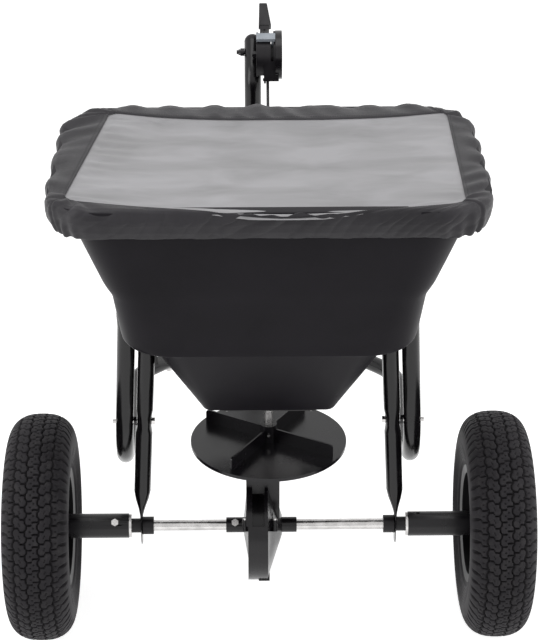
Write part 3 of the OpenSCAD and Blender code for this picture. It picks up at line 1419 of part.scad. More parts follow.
lever_half = 6;
grip_start = 45;
neck_start = 38;
module lever() {
  color("#2e2c30") difference() {
    union() {
      translate([-lever_t / 2, pivot_y, pivot_rise]) rotate([0, 90, 0]) cylinder(r = 10, h = lever_t);
      from_pivot(handle_a) translate([-lever_t / 2, -lever_half, 0])
        cube([lever_t, 2 * lever_half, handle_len - 6]);
      from_pivot(arm_rest_a) {
        translate([-lever_t / 2, -lever_half, 0]) cube([lever_t, 2 * lever_half, arm_len]);
        translate([-lever_t / 2, 0, arm_len]) rotate([0, 90, 0]) cylinder(r = lever_half, h = lever_t);
      }
    }
    translate([0, pivot_y, pivot_rise]) rotate([0, 90, 0])
      cylinder(d = small_bolt_d + 2 * run_gap, h = 80, center = true);
    from_pivot(arm_rest_a) translate([0, 0, arm_len]) rotate([0, 90, 0])
      cylinder(d = rod_d + 2 * run_gap, h = 40, center = true);
  }
}

// Grip moulded over the handle, wider towards the bracket, with a narrower neck
module lever_grip() {
  g = thread_gap;
  color("#1a181b") from_pivot(handle_a) difference() {
    union() {
      hull() {
        translate([-9, -9, grip_start]) cube([19, 18, eps]);
        translate([-8, -8, handle_len - 2]) cube([12, 16, eps]);
        translate([-7, -6, handle_len]) cube([10, 12, eps]);
      }
      translate([-7, -8, neck_start]) cube([14, 16, grip_start - neck_start + eps]);
    }
    translate([-lever_t / 2 - g, -lever_half - g, neck_start - 1])
      cube([lever_t + 2 * g, 2 * lever_half + 2 * g, handle_len - 6 - neck_start + 1 + g]);
  }
}

stop_half = 6;
stop_a = handle_a + lever_swing + 24.5;
stop_in = pod_r + ratchet_h + 1.2;
stop_out = stop_in + 6;
// Stop that rides over the right cheek's teeth, with a leg inside the cheek
module stop_clamp() {
  color("#b4b9c0") intersection() {
    union() {
      difference() {
        pod_disc(pod_left, pod_right - 0.5, stop_out);
        pod_disc(pod_left - 1, pod_right, stop_in);
      }
      difference() {
        pod_disc(leg_left, leg_right, stop_out);
        pod_disc(leg_left - 1, leg_right + 1, leg_in);
      }
    }
    from_pivot(stop_a) translate([-30, -stop_half, 10]) cube([60, 2 * stop_half, 40]);
  }
}

rod_bend_r = rod_d * 0.6;
rod_x = lever_t / 2 + 0.1 + rod_bend_r;
rod_hook = lever_t / 2 + 1.6;
rod_top = [rod_x, pivot_y + arm_len * cos(arm_rest_a), pivot_rise + arm_len * sin(arm_rest_a)];
rod_low = [rod_x, lug_y, rod_low_rise];

// Rod whose two ends are bent square into the lever's arm and the gate's lug
rod_bend_steps = 4;
module control_rod() {
  run = rod_low - rod_top;
  along = run / norm(run);
  side = cross(across, along);
  corner = rod_x - rod_bend_r;
  function hook(p, t) = p + (corner + rod_bend_r * sin(t) - rod_x) * across;
  steps = [for (i = [0 : rod_bend_steps]) 90 * i / rod_bend_steps];
  color("#2a282c") ring_stack(concat(
    [section(round_station([-rod_hook, rod_top[1], rod_top[2]], along, side, rod_d))],
    [for (t = steps) section(round_station(hook(rod_top, t) + rod_bend_r * (1 - cos(t)) * along,
      cos(t) * along - sin(t) * across, side, rod_d))],
    [for (t = reversed(steps)) section(round_station(hook(rod_low, t) - rod_bend_r * (1 - cos(t)) * along,
      -cos(t) * along - sin(t) * across, side, rod_d))],
    [section(round_station([-rod_hook, rod_low[1], rod_low[2]], -along, side, rod_d))]
  ));
}

placed() frame_tube(LEFT);  // frame_tube_left
placed() frame_tube(RIGHT);  // frame_tube_right
placed() axle_support(LEFT);  // axle_support_left
placed() axle_support(RIGHT);  // axle_support_right
placed() frame_spacers();
placed() frame_bolts();
placed() frame_nuts();
placed() axle_bushing(LEFT);  // axle_bushing_left
placed() axle_bushing(RIGHT);  // axle_bushing_right
placed() hopper();
placed() hopper_brace();
placed() rain_cover();
placed() cover_window();
placed() hitch_tube();
placed() hitch_clevis();
placed() crossover_bar();
placed() control_post();
placed() post_cap();
placed() control_bracket();
placed() scale_plate();
placed() clamp_bolt();
placed() wing_nut();
placed() lever_pivot_bolt();
placed() gate_guide();
placed() guide_screws();
placed() shaft_bushings();
placed() gearbox_upper();
placed() gearbox_lower();
placed() gearbox_screws();
placed() axle();
placed() gear_sleeve();
placed() face_gear();
placed() sleeve_bolt();
placed() tyre(LEFT);  // tyre_left
placed() rim_pressing(LEFT, true);  // rim_left_outer
placed() rim_pressing(LEFT, false);  // rim_left_inner
placed() rim_bolts(LEFT);  // rim_bolts_left
placed() hub_tube(LEFT);  // hub_tube_left
placed() hub_bushings(LEFT);  // hub_bushings_left
placed() drive_bolt();
placed() valve_stem(LEFT);  // valve_stem_left
placed() axle_washers();
placed() cotter_pins();
placed() tyre(RIGHT);  // tyre_right
placed() rim_pressing(RIGHT, true);  // rim_right_outer
placed() rim_pressing(RIGHT, false);  // rim_right_inner
placed() rim_bolts(RIGHT);  // rim_bolts_right
placed() hub_tube(RIGHT);  // hub_tube_right
placed() hub_bushings(RIGHT);  // hub_bushings_right
placed() valve_stem(RIGHT);  // valve_stem_right
placed() impeller_shaft();
placed() pinion();
placed() impeller();
placed() shaft_pins();
placed() agitator();
placed() lever();
placed() lever_grip();
placed() control_rod();
placed() slide_gate();
placed() stop_clamp();
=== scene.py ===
"""Studio scene of a tow-behind broadcast spreader: cloth cover, tyres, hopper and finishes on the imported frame."""
import json
import math

import bpy
import numpy as np
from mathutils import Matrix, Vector

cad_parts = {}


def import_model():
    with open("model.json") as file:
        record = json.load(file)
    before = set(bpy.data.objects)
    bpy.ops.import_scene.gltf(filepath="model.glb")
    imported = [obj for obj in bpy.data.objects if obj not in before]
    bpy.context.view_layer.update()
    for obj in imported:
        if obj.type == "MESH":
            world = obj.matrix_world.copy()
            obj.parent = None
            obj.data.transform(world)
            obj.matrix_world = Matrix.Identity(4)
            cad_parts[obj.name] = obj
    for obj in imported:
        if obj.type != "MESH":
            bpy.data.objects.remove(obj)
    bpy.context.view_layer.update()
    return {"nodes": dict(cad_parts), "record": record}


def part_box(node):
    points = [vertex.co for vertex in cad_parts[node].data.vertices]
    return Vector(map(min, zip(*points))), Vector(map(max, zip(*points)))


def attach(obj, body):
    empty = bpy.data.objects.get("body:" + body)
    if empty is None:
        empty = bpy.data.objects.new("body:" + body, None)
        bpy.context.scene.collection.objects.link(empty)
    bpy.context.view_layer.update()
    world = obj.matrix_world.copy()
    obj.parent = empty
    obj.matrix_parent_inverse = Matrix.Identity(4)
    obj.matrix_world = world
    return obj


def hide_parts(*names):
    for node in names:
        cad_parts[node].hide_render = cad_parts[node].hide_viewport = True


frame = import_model()
nodes = frame["nodes"]

# Place of the axle's middle in the frame, in metres
AXLE_LOW, AXLE_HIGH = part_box("axle")
AXLE = (AXLE_LOW + AXLE_HIGH) / 2
MM = 0.001


def world(points):
    """Points in millimetres about the axle's middle, as metres in the frame."""
    return np.asarray(points, float) * MM + np.array(AXLE)


def linear(hex_colour):
    """Turns an sRGB colour such as #a0b1c2 into linear RGBA."""
    values = [int(hex_colour[i:i + 2], 16) / 255 for i in (1, 3, 5)]
    return tuple(v / 12.92 if v <= 0.04045 else ((v + 0.055) / 1.055) ** 2.4 for v in values) + (1.0,)


# CAMERA

FOCAL_PX = 2035.0
IMAGE_W = 540
CAMERA_BACK = 2.542
CAMERA_UP = 1.592
CAMERA_SIDE = -0.033
AIM_DISTANCE = 2.665
PITCH = math.radians(26.32)

camera_data = bpy.data.cameras.new("camera")
camera_data.sensor_fit = "HORIZONTAL"
camera_data.sensor_width = 36.0
camera_data.lens = 36.0 * FOCAL_PX / IMAGE_W
camera_data.clip_end = 50.0
camera = bpy.data.objects.new("camera", camera_data)
bpy.context.scene.collection.objects.link(camera)
camera.location = AXLE + Vector((CAMERA_SIDE, -CAMERA_BACK, CAMERA_UP))
aim = AXLE + Vector((0, -CAMERA_BACK + AIM_DISTANCE * math.cos(PITCH), CAMERA_UP - AIM_DISTANCE * math.sin(PITCH)))
camera.rotation_euler = (aim - camera.location).to_track_quat("-Z", "Y").to_euler()
bpy.context.scene.camera = camera


# MATERIALS

def add(tree, kind, values=None, **settings):
    """Adds a shader node. Values maps its inputs to constants or to other nodes' output sockets."""
    made = tree.nodes.new(kind)
    for key, value in settings.items():
        setattr(made, key, value)
    for key, value in (values or {}).items():
        if isinstance(value, bpy.types.NodeSocket):
            tree.links.new(value, made.inputs[key])
        else:
            made.inputs[key].default_value = value
    return made


def millimetres(tree, stretch=(1, 1, 1)):
    """Object coordinates in millimetres, scaled along the axes."""
    place = add(tree, "ShaderNodeTexCoord").outputs["Object"]
    scale = tuple(1000 * s for s in stretch)
    return add(tree, "ShaderNodeVectorMath", {0: place, 1: scale}, operation="MULTIPLY").outputs[0]


def noise(tree, place, size, detail=3.0, rough=0.55, distortion=0.0):
    """Noise whose features are about the given size in the units of its coordinates."""
    return add(tree, "ShaderNodeTexNoise", {"Vector": place, "Scale": 1 / size, "Detail": detail,
                                            "Roughness": rough, "Distortion": distortion}).outputs["Fac"]


def spread(tree, value, low, high, to_low, to_high):
    """Moves a value from one range to another and stops at the ends."""
    return add(tree, "ShaderNodeMapRange", {"Value": value, "From Min": low, "From Max": high,
                                            "To Min": to_low, "To Max": to_high}).outputs["Result"]


def blend(tree, share, first, second):
    """Mixes two colours by a share."""
    mix = add(tree, "ShaderNodeMix", {0: share}, data_type="RGBA")
    for slot, value in ((6, first), (7, second)):
        if isinstance(value, bpy.types.NodeSocket):
            tree.links.new(value, mix.inputs[slot])
        else:
            mix.inputs[slot].default_value = value
    return mix.outputs[2]


def times(tree, first, second, operation="MULTIPLY"):
    """Combines two values by a math operation."""
    return add(tree, "ShaderNodeMath", {0: first, 1: second}, operation=operation).outputs[0]


def bare_material(name):
    """Empty principled material, as (material, node tree, shader)."""
    material = bpy.data.materials.new(name)
    material.use_nodes = True
    return material, material.node_tree, material.node_tree.nodes["Principled BSDF"]


def finish_of(name, dark, light, roughness, metallic=0.0, coat=0.0, blotch=45.0, grain=0.9, height=0.03,
              vary=0.06, stretch=(1, 1, 1), grime=0.0, specular=0.5, relief=""):
    """Moulded, painted or plated finish: colour drifts between two tones in blotches of the given size in mm,
    roughness drifts with it, and a grain of the given size in mm raises the surface by the given height."""
    material, tree, shader = bare_material(name)
    place = millimetres(tree)
    cloud = noise(tree, place, blotch, 4.0)
    fine = noise(tree, millimetres(tree, stretch), grain, 2.0)
    share = spread(tree, times(tree, times(tree, cloud, 0.7), times(tree, fine, 0.3), "ADD"), 0.35, 0.65, 0, 1)
    tone = blend(tree, share, linear(dark), linear(light))
    if grime:
        dust = spread(tree, noise(tree, place, blotch * 0.5, 6.0, 0.7), 0.5, 0.75, 0, grime)
        tone = blend(tree, dust, tone, linear("#6f6c69"))
    # Painted shade: where the named relief attribute is low, in the tyre's grooves and pits, the colour is darkened
    # towards near black #121013
    if relief:
        raised = add(tree, "ShaderNodeAttribute", attribute_name=relief).outputs["Fac"]
        tone = blend(tree, raised, linear("#121013"), tone)
    tree.links.new(tone, shader.inputs["Base Color"])
    tree.links.new(spread(tree, cloud, 0.3, 0.7, roughness - vary, roughness + vary), shader.inputs["Roughness"])
    bump = add(tree, "ShaderNodeBump", {"Height": fine, "Strength": 0.6, "Distance": height * MM})
    tree.links.new(bump.outputs[0], shader.inputs["Normal"])
    shader.inputs["Metallic"].default_value = metallic
    shader.inputs["Coat Weight"].default_value = coat
    shader.inputs["Coat Roughness"].default_value = 0.12
    shader.inputs["Specular IOR Level"].default_value = specular
    return material


def woven_polyester():
    """Black plain-woven polyester: threads 0.5 mm apart along the cloth's own UV in mm, a soft sheen, and colour
    that fades a little in broad patches."""
    material, tree, shader = bare_material("woven_polyester")
    threads = add(tree, "ShaderNodeUVMap", uv_map="cloth").outputs[0]
    parts = add(tree, "ShaderNodeSeparateXYZ", {0: threads})
    waves = [times(tree, times(tree, parts.outputs[axis], 2 * math.pi / 0.5), 0.0, "SINE") for axis in (0, 1)]
    weave = times(tree, waves[0], waves[1])
    cloud = noise(tree, millimetres(tree), 60.0, 4.0)
    slub = noise(tree, millimetres(tree), 4.0, 5.0, 0.7)
    share = spread(tree, times(tree, times(tree, cloud, 0.75), times(tree, slub, 0.25), "ADD"), 0.38, 0.62, 0, 1)
    tree.links.new(blend(tree, share, linear("#211f23"), linear("#302e32")), shader.inputs["Base Color"])
    tree.links.new(spread(tree, slub, 0.3, 0.7, 0.42, 0.54), shader.inputs["Roughness"])
    relief = times(tree, times(tree, weave, 0.35), slub, "ADD")
    bump = add(tree, "ShaderNodeBump", {"Height": relief, "Strength": 0.5, "Distance": 0.12 * MM})
    tree.links.new(bump.outputs[0], shader.inputs["Normal"])
    shader.inputs["Sheen Weight"].default_value = 0.1
    shader.inputs["Specular IOR Level"].default_value = 0.3
    shader.inputs["Sheen Roughness"].default_value = 0.45
    return material


def frosted_film():
    """Frosted PVC film: pale grey, clouded in broad patches, with fine creases that catch the light."""
    material, tree, shader = bare_material("frosted_pvc_film")
    place = millimetres(tree)
    cloud = noise(tree, millimetres(tree, (1, 2.2, 1)), 130.0, 3.0, 0.5, 0.4)
    crease = noise(tree, millimetres(tree, (1, 3, 1)), 26.0, 4.0, 0.6, 0.8)
    share = spread(tree, cloud, 0.35, 0.65, 0, 1)
    tree.links.new(blend(tree, share, linear("#989799"), linear("#b3b2b5")), shader.inputs["Base Color"])
    tree.links.new(spread(tree, cloud, 0.3, 0.7, 0.34, 0.46), shader.inputs["Roughness"])
    fine = times(tree, crease, times(tree, noise(tree, place, 1.2, 2.0), 0.04), "ADD")
    bump = add(tree, "ShaderNodeBump", {"Height": fine, "Strength": 0.35, "Distance": 1.2 * MM})
    tree.links.new(bump.outputs[0], shader.inputs["Normal"])
    shader.inputs["Specular IOR Level"].default_value = 0.45
    return material


LOOKS = {
    # Steel tube, blasted and coated with gloss black powder that flowed in the oven: sharp thin highlights run
    # along the tubes and waver a little over its fine orange peel
    "black_powder_coat": finish_of("gloss_black_powder_coat", "#0b0a0c", "#131114", 0.22, coat=0.15, grain=1.6,
                                   height=0.02, specular=0.32),
    # Cold-drawn steel with a bright zinc plate: drawing lines along the bar streak what it mirrors
    "zinc_steel": finish_of("bright_zinc_plate", "#b9b7b6", "#dddbda", 0.26, 1.0, blotch=14, grain=0.35, height=0.01,
                            stretch=(0.2, 1, 1)),
    # Steel stampings and bar, sprayed in satin black: soft broad highlights, a little uneven at the edges
    "dark_steel": finish_of("satin_black_paint", "#131114", "#1c1a1e", 0.28, coat=0.15, grain=1.2, height=0.02,
                            specular=0.3),
    # Pressed sheet steel, dipped in black enamel: a dull gleam on the flanges and near black inside
    "rim_paint": finish_of("black_enamel", "#0f0e10", "#171619", 0.42, grain=1.4, height=0.02, specular=0.18),
    # Natural rubber, moulded hot and never wiped: matt tops with a film of dust, and painted shade that darkens the
    # grooves and pits to near black
    "tyre_rubber": finish_of("moulded_tyre_rubber", "#252326", "#353336", 0.62, blotch=30, grain=0.8, height=0.05,
                             grime=0.14, specular=0.15, relief="relief"),
    # Extruded and cut rubber: even, matt and soft at the edges
    "black_rubber": finish_of("extruded_rubber", "#161517", "#201f21", 0.6, blotch=12, grain=0.5, height=0.03,
                              specular=0.2),
    # Rotationally moulded polyethylene: the mould's fine blasting leaves an even, waxy matt skin
    "hopper_plastic": finish_of("moulded_polyethylene", "#1d1b1f", "#262428", 0.46, blotch=90, grain=1.1, height=0.05,
                                specular=0.1),
    # Injection-moulded nylon from a spark-eroded tool: satin, with small clear highlights on the edges
    "black_plastic": finish_of("satin_nylon", "#151316", "#1f1d20", 0.4, blotch=20, grain=0.7, height=0.02,
                               specular=0.3),
    # Glass-filled nylon from a polished tool: it mirrors the studio softly on its flat faces
    "case_plastic": finish_of("polished_nylon", "#0f0d10", "#181619", 0.26, coat=0.05, blotch=25, grain=1.0,
                              height=0.01, specular=0.33),
    # Injection-moulded polypropylene from a smooth tool: the disc picks up broad pale reflections
    "spinner_plastic": finish_of("smooth_polypropylene", "#0f0d11", "#171519", 0.24, blotch=60, grain=1.0,
                                 height=0.02, specular=0.34),
    # Natural acetal, machined and left uncoloured: creamy, slightly waxy
    "pale_plastic": finish_of("natural_acetal", "#d9d7ce", "#e8e6de", 0.5, blotch=15, grain=0.6, height=0.02),
    # Sintered steel, oiled: a dull grey with a faint grain and no clear mirror image
    "gear_steel": finish_of("sintered_steel", "#7d7a74", "#9c9993", 0.42, 0.9, blotch=12, grain=0.4, height=0.02),
    # Grey acetal from a smooth tool: a cool pale block that stands out against the black bracket
    "grey_plastic": finish_of("grey_acetal", "#99a0a8", "#aeb5bc", 0.42, blotch=15, grain=0.6, height=0.02),
    "cover_fabric": woven_polyester(),
    "window_film": frosted_film(),
}


def shading_modifier():
    """Geometry nodes that join split vertices and shade smooth, apart from edges sharper than 32 degrees."""
    group = bpy.data.node_groups.new("smooth_by_angle", "GeometryNodeTree")
    group.interface.new_socket("Geometry", in_out="INPUT", socket_type="NodeSocketGeometry")
    group.interface.new_socket("Geometry", in_out="OUTPUT", socket_type="NodeSocketGeometry")
    entry = group.nodes.new("NodeGroupInput")
    leave = group.nodes.new("NodeGroupOutput")
    joined = add(group, "GeometryNodeMergeByDistance", {"Geometry": entry.outputs[0], "Distance": 2e-6})
    angle = add(group, "GeometryNodeInputMeshEdgeAngle").outputs["Unsigned Angle"]
    sharp = add(group, "FunctionNodeCompare", {0: angle, 1: math.radians(32)}, operation="GREATER_THAN").outputs[0]
    faces = add(group, "GeometryNodeSetShadeSmooth", {"Geometry": joined.outputs[0]}, domain="FACE")
    edges = add(group, "GeometryNodeSetShadeSmooth",
                {"Geometry": faces.outputs[0], "Selection": sharp, "Shade Smooth": False}, domain="EDGE")
    group.links.new(edges.outputs[0], leave.inputs[0])
    return group


SMOOTH = shading_modifier()
BEVELS = {"gearbox_upper": 0.6, "gearbox_lower": 0.6, "impeller": 0.4, "control_bracket": 0.5, "lever_grip": 1.2,
          "hitch_clevis": 0.4, "crossover_bar": 0.3, "slide_gate": 0.15, "axle": 0.5, "hub_tube_left": 0.4,
          "hub_tube_right": 0.4, "gear_sleeve": 0.4, "axle_bushing_left": 0.4, "axle_bushing_right": 0.4}
for part in frame["record"]["subparts"]:
    thing = nodes[part["node"]]
    thing.data.materials.clear()
    thing.data.materials.append(LOOKS[part["material_slot"]])
    smooth = thing.modifiers.new("smooth", "NODES")
    smooth.node_group = SMOOTH
    if part["node"] in BEVELS:
        bevel = thing.modifiers.new("bevel", "BEVEL")
        bevel.width = BEVELS[part["node"]] * MM
        bevel.segments = 2
        bevel.limit_method = "ANGLE"
        bevel.angle_limit = math.radians(40)
        bevel.harden_normals = True


# MESHES

def grid_faces(rows, cols, wrap):
    """Quads between neighbouring points of a grid whose columns may close into a ring."""
    row = np.arange(rows - 1)[:, None]
    col = np.arange(cols if wrap else cols - 1)[None, :]
    after = (col + 1) % cols
    return np.stack(np.broadcast_arrays(row * cols + col, row * cols + after, (row + 1) * cols + after,
                                        (row + 1) * cols + col), -1).reshape(-1, 4)


def add_mesh(name, points, faces, look, body, sharp=None):
    """Piece from points in mm about the axle's middle and quads, shaded smooth, riding on a body."""
    mesh = bpy.data.meshes.new(name)
    points = world(points).reshape(-1, 3).astype(np.float32)
    faces = np.asarray(faces, np.int32)
    sides = faces.shape[1]
    mesh.vertices.add(len(points))
    mesh.vertices.foreach_set("co", points.ravel())
    mesh.loops.add(faces.size)
    mesh.loops.foreach_set("vertex_index", faces.ravel())
    mesh.polygons.add(len(faces))
    mesh.polygons.foreach_set("loop_start", np.arange(0, faces.size, sides, dtype=np.int32))
    mesh.update(calc_edges=True)
    mesh.shade_smooth()
    if sharp:
        mesh.set_sharp_from_angle(angle=math.radians(sharp))
    mesh.materials.append(LOOKS[look])
    piece = bpy.data.objects.new(name, mesh)
    bpy.context.scene.collection.objects.link(piece)
    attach(piece, body)
    return piece


def add_relief(piece, height):
    """Stores how far each point of a piece is raised, 0 in a groove and 1 on top; the tyre's finish uses it to paint
    shade into the grooves.
    """
    layer = piece.data.attributes.new("relief", "FLOAT", "POINT")
    layer.data.foreach_set("value", np.broadcast_to(height, (len(piece.data.vertices),)).astype(np.float32))


def add_uv(piece, across, down, wrap):
    """Gives a grid piece a UV map in mm: across for the columns and down for the rows, unbroken at the join."""
    rows, cols = len(down), len(across) - (1 if wrap else 0)
    row = np.arange(rows - 1)[:, None]
    col = np.arange(cols if wrap else cols - 1)[None, :]
    corners = [(row, col), (row, col + 1), (row + 1, col + 1), (row + 1, col)]
    shape = np.broadcast_shapes(row.shape, col.shape)
    values = [np.stack([np.broadcast_to(across[c], shape), np.broadcast_to(down[r], shape)], -1) for r, c in corners]
    layer = piece.data.uv_layers.new(name="cloth")
    layer.data.foreach_set("uv", np.stack(values, 2).astype(np.float32).ravel())


def box_outline(shares, half_x, half_y, radius, reference):
    """Points and outward directions on a box outline with round corners, at shares 0 to 1 of the way round.
    Shares are spaced by arc length on a reference outline (half width, half depth, radius), so that outlines of
    different sizes match point for point."""
    ref_x, ref_y, ref_r = reference
    lengths = []
    for quarter in range(4):
        lengths += [ref_r * math.pi / 2, 2 * ((ref_x if quarter % 2 == 0 else ref_y) - ref_r)]
    ends = np.cumsum(lengths)
    where = (shares % 1.0) * ends[-1]
    piece = np.searchsorted(ends, where, side="right").clip(0, 7)
    along = (where - (ends - lengths)[piece]) / np.array(lengths)[piece]
    quarter, straight = piece // 2, piece % 2
    turn = np.radians(90 * (quarter + np.where(straight, 1.0, along)))
    out = np.stack([np.cos(turn), np.sin(turn)], -1)
    sign_x = np.where((quarter == 0) | (quarter == 3), 1.0, -1.0)
    sign_y = np.where(quarter < 2, 1.0, -1.0)
    centre = np.stack([sign_x * (half_x - radius), sign_y * (half_y - radius)], -1)
    follow = np.stack([np.where((quarter == 3) | (quarter == 2), 1.0, -1.0) * (half_x - radius),
                       np.where((quarter == 0) | (quarter == 3), 1.0, -1.0) * (half_y - radius)], -1)
    slide = np.where(straight, along, 0.0)[:, None]
    return centre + (follow - centre) * slide + radius * out, out


def surface_normals(points, wrap):
    """Unit normals of a grid of points, from its differences along rows and columns."""
    down = np.gradient(points, axis=0)
    if wrap:
        across = (np.roll(points, -1, axis=1) - np.roll(points, 1, axis=1)) / 2
    else:
        across = np.gradient(points, axis=1)
    normal = np.cross(across, down)
    return normal / np.maximum(np.linalg.norm(normal, axis=-1, keepdims=True), 1e-9)


def profile(stations, step):
    """Fills in a list of stations by straight lines, with the given distance between points."""
    stations = np.array(stations, float)
    gaps = np.linalg.norm(np.diff(stations, axis=0), axis=1)
    reach = np.concatenate([[0], np.cumsum(gaps)])
    places = np.linspace(0, reach[-1], int(reach[-1] / step) + 1)
    return np.stack([np.interp(places, reach, stations[:, k]) for k in range(stations.shape[1])], -1), places


def round_profile(stations, reaches, steps=5):
    """Rounds each inner corner of a list of stations with a parabola that starts at its reach from the corner."""
    stations = np.array(stations, float)
    out = [stations[0]]
    for k in range(1, len(stations) - 1):
        before, here, after = stations[k - 1], stations[k], stations[k + 1]
        into, away = before - here, after - here
        start = here + into * min(reaches[k] / np.linalg.norm(into), 0.49)
        end = here + away * min(reaches[k] / np.linalg.norm(away), 0.49)
        for t in np.linspace(0, 1, steps):
            out.append(start * (1 - t) ** 2 + here * 2 * t * (1 - t) + end * t * t)
    return np.array(out + [stations[-1]])


def waves(places, length, parts, seed):
    """Sum of sines that closes after the given length. Parts are (count round, height)."""
    rng = np.random.default_rng(seed)
    total = np.zeros_like(places)
    for count, high in parts:
        total += high * np.sin(2 * math.pi * count * places / length + rng.uniform(0, 2 * math.pi))
    return total


# COVER

# Outlines about the middle as half width, half depth and corner radius, in mm
RIM_OUTLINE = (288.6, 194.8, 80.0)
WINDOW_OUTLINE = (250.0, 158.0, 16.0)
STRIP = RIM_OUTLINE[0] - WINDOW_OUTLINE[0]
COVER_TOP = 583.3
COVER_LENGTH = 4 * (RIM_OUTLINE[0] + RIM_OUTLINE[1]) - (8 - 2 * math.pi) * RIM_OUTLINE[2]
COVER_COLS = 1000


def corner_share(quarter, along):
    """Share of the way round at a place on a corner's arc."""
    half_x, half_y, radius = RIM_OUTLINE
    arc = radius * math.pi / 2
    sides = [2 * (half_x - radius), 2 * (half_y - radius)] * 2
    return (quarter * arc + sum(sides[:quarter]) + along * arc) / COVER_LENGTH


def tapered(flat):
    """The rim's outline drawn in towards the far side, by a share of its width that grows at the far corners."""
    depth = flat[:, 1] / RIM_OUTLINE[1]
    return np.column_stack([flat[:, 0] * (1 - 0.012 * depth - 0.018 * np.clip(depth, 0, 1) ** 6), flat[:, 1]])


def window_place(u, v):
    """Place of a point of the window, which is given as -1 to 1 across and from near to far. The window is sewn
    in a little askew: its near edge bows out over the rim, and its far corners reach back towards the rim."""
    t, s = (u + 1) / 2, (v + 1) / 2
    arch = np.sin(math.pi * np.clip(t, 0, 1))
    near = -150 - 16 * t - 38 * arch ** 0.8
    far = 134 + (32 - 6 * t) * (1 - arch) ** 1.6
    left, right = -264 + 42 * s, 250 + 4 * s
    return left * (1 - t) + right * t, near * (1 - s) + far * s


def bent_over(points):
    """Bends the top down where it reaches past the near side of the rim, by the square of how far it does."""
    past = np.clip((-points[..., 1] - 187) / 9, 0, 1.1)
    points[..., 2] -= 7 * past ** 2 * np.clip((points[..., 2] - 562) / 15, 0, 1)
    return points


def cover_surface():
    """Grid of the cover from the window's edge over the rim to the turned-in hem. Stations down the cloth are
    (way out from the window's edge on the side strips, inset from the rim's outline, height). Puffs stand out
    between the hem's gathers and lean as they run down, pleats crowd at the corners, and darts are sewn in."""
    stations = [(-0.8, 0, COVER_TOP - 1.7), (0, 0, COVER_TOP - 0.9), (1, 0, COVER_TOP - 0.2), (11, 0, COVER_TOP),
                (24, 0, COVER_TOP - 0.5), (32, 0, COVER_TOP - 2.2), (36.5, 0, COVER_TOP - 6), (STRIP, 0, COVER_TOP - 11),
                (STRIP, 0.2, COVER_TOP - 20), (STRIP, 2.5, 552), (STRIP, 5.5, 545), (STRIP, 7.5, 542), (STRIP, 9.5, 543),
                (STRIP, 10, 548)]
    rows, reach = profile(stations, 1.15)
    share = np.arange(COVER_COLS) / COVER_COLS
    inner = box_outline(share, *WINDOW_OUTLINE, RIM_OUTLINE)[0] / np.array(WINDOW_OUTLINE[:2])
    inner = np.stack(window_place(inner[:, 0], inner[:, 1]), -1)
    outer, out = box_outline(share, *RIM_OUTLINE, RIM_OUTLINE)
    outer = tapered(outer)
    part = rows[:, 0, None, None] / STRIP
    flat = inner * (1 - part) + (outer - rows[:, 1, None, None] * out) * part
    base = np.concatenate([flat, np.broadcast_to(rows[:, 2, None, None], flat.shape[:2] + (1,))], -1)
    normal = surface_normals(base, True)
    normal *= np.sign(normal[12, :, 2].mean())
    total = reach[-1]
    place = share * COVER_LENGTH
    down = reach[:, None]
    front = np.clip(-out[:, 1], 0, 1)
    lean = (waves(place, COVER_LENGTH, [(3, 0.012), (7, 0.014)], 21) + 0.045 * front) * np.maximum(down - 12, 0)
    phase = 2 * math.pi * 27 * share + waves(place, COVER_LENGTH, [(3, 1.3), (7, 0.9), (11, 0.5)], 3) + lean
    puff = (0.5 + 0.5 * np.cos(phase)) ** 0.8
    pleat_phase = 2 * math.pi * 92 * share + waves(place, COVER_LENGTH, [(5, 2.0), (13, 1.2)], 5)
    pleat = np.sin(pleat_phase) * (0.55 + 0.45 * np.sin(2 * math.pi * 17 * share + 1.3))
    ripple_phase = 2 * math.pi * 47 * share + waves(place, COVER_LENGTH, [(4, 1.8), (9, 1.1)], 8) + 2 * lean
    ripple = np.sin(ripple_phase) * (0.5 + 0.5 * np.sin(2 * math.pi * 6 * share + 0.4))
    drift = waves(place, COVER_LENGTH, [(2, 0.5), (5, 0.6), (9, 0.4)], 9)
    near_corner = np.zeros_like(share)
    for quarter in range(4):
        gap = np.abs((share - corner_share(quarter, 0.5) + 0.5) % 1.0 - 0.5) * COVER_LENGTH
        near_corner += np.exp(-(gap / 45) ** 2)
    edge = np.interp(reach, [0, 6, 14, 30, 40, 60, total - 10, total], [0, 0, 0.15, 0.7, 1.0, 0.8, 0.4, 0.1])
    hem = np.interp(reach, [0, 40, 56, total - 16, total - 6, total], [0, 0.05, 0.35, 1.0, 1.0, 0.5])
    top = np.interp(reach, [0, 3, 10, 26, 40, total], [0, 0.35, 1.0, 0.9, 0.3, 0])
    fold_phase = 2 * math.pi * 39 * share + waves(place, COVER_LENGTH, [(4, 1.5), (10, 0.8)], 13) + 3 * lean
    fold = np.abs(np.sin(fold_phase)) ** 0.6 - 0.7
    high = (edge[:, None] * (5.4 * (1 - 0.35 * front) * puff + drift - 2.2 + 1.5 * (0.4 + 0.6 * front) * fold)
            + hem[:, None] * (0.8 + 1.8 * near_corner) * pleat + top[:, None] * (2.0 - 0.9 * front) * ripple)
    for quarter, along in ((2, 0.38), (3, 0.5), (0, 0.75), (1, 0.25)):
        seam = corner_share(quarter, along)
        gap = ((share - seam + 0.5) % 1.0 - 0.5) * COVER_LENGTH
        cut = np.interp(reach, [0, 2, 8, total - 12, total], [0, 0.6, 1.0, 1.0, 0.4])[:, None]
        high = high + cut * (-1.7 * np.exp(-(gap / 1.5) ** 2) + 0.9 * np.exp(-((gap - 4) / 3.0) ** 2))
    tuck = np.interp(reach, [0, total - 22, total - 5, total], [0, 0, 1.0, 0.6])
    points = base + normal * high[..., None]
    points[..., 2] += tuck[:, None] * (2.4 * (puff - 0.5) + 0.8 * pleat - 4.0 * near_corner)
    return bent_over(points), reach


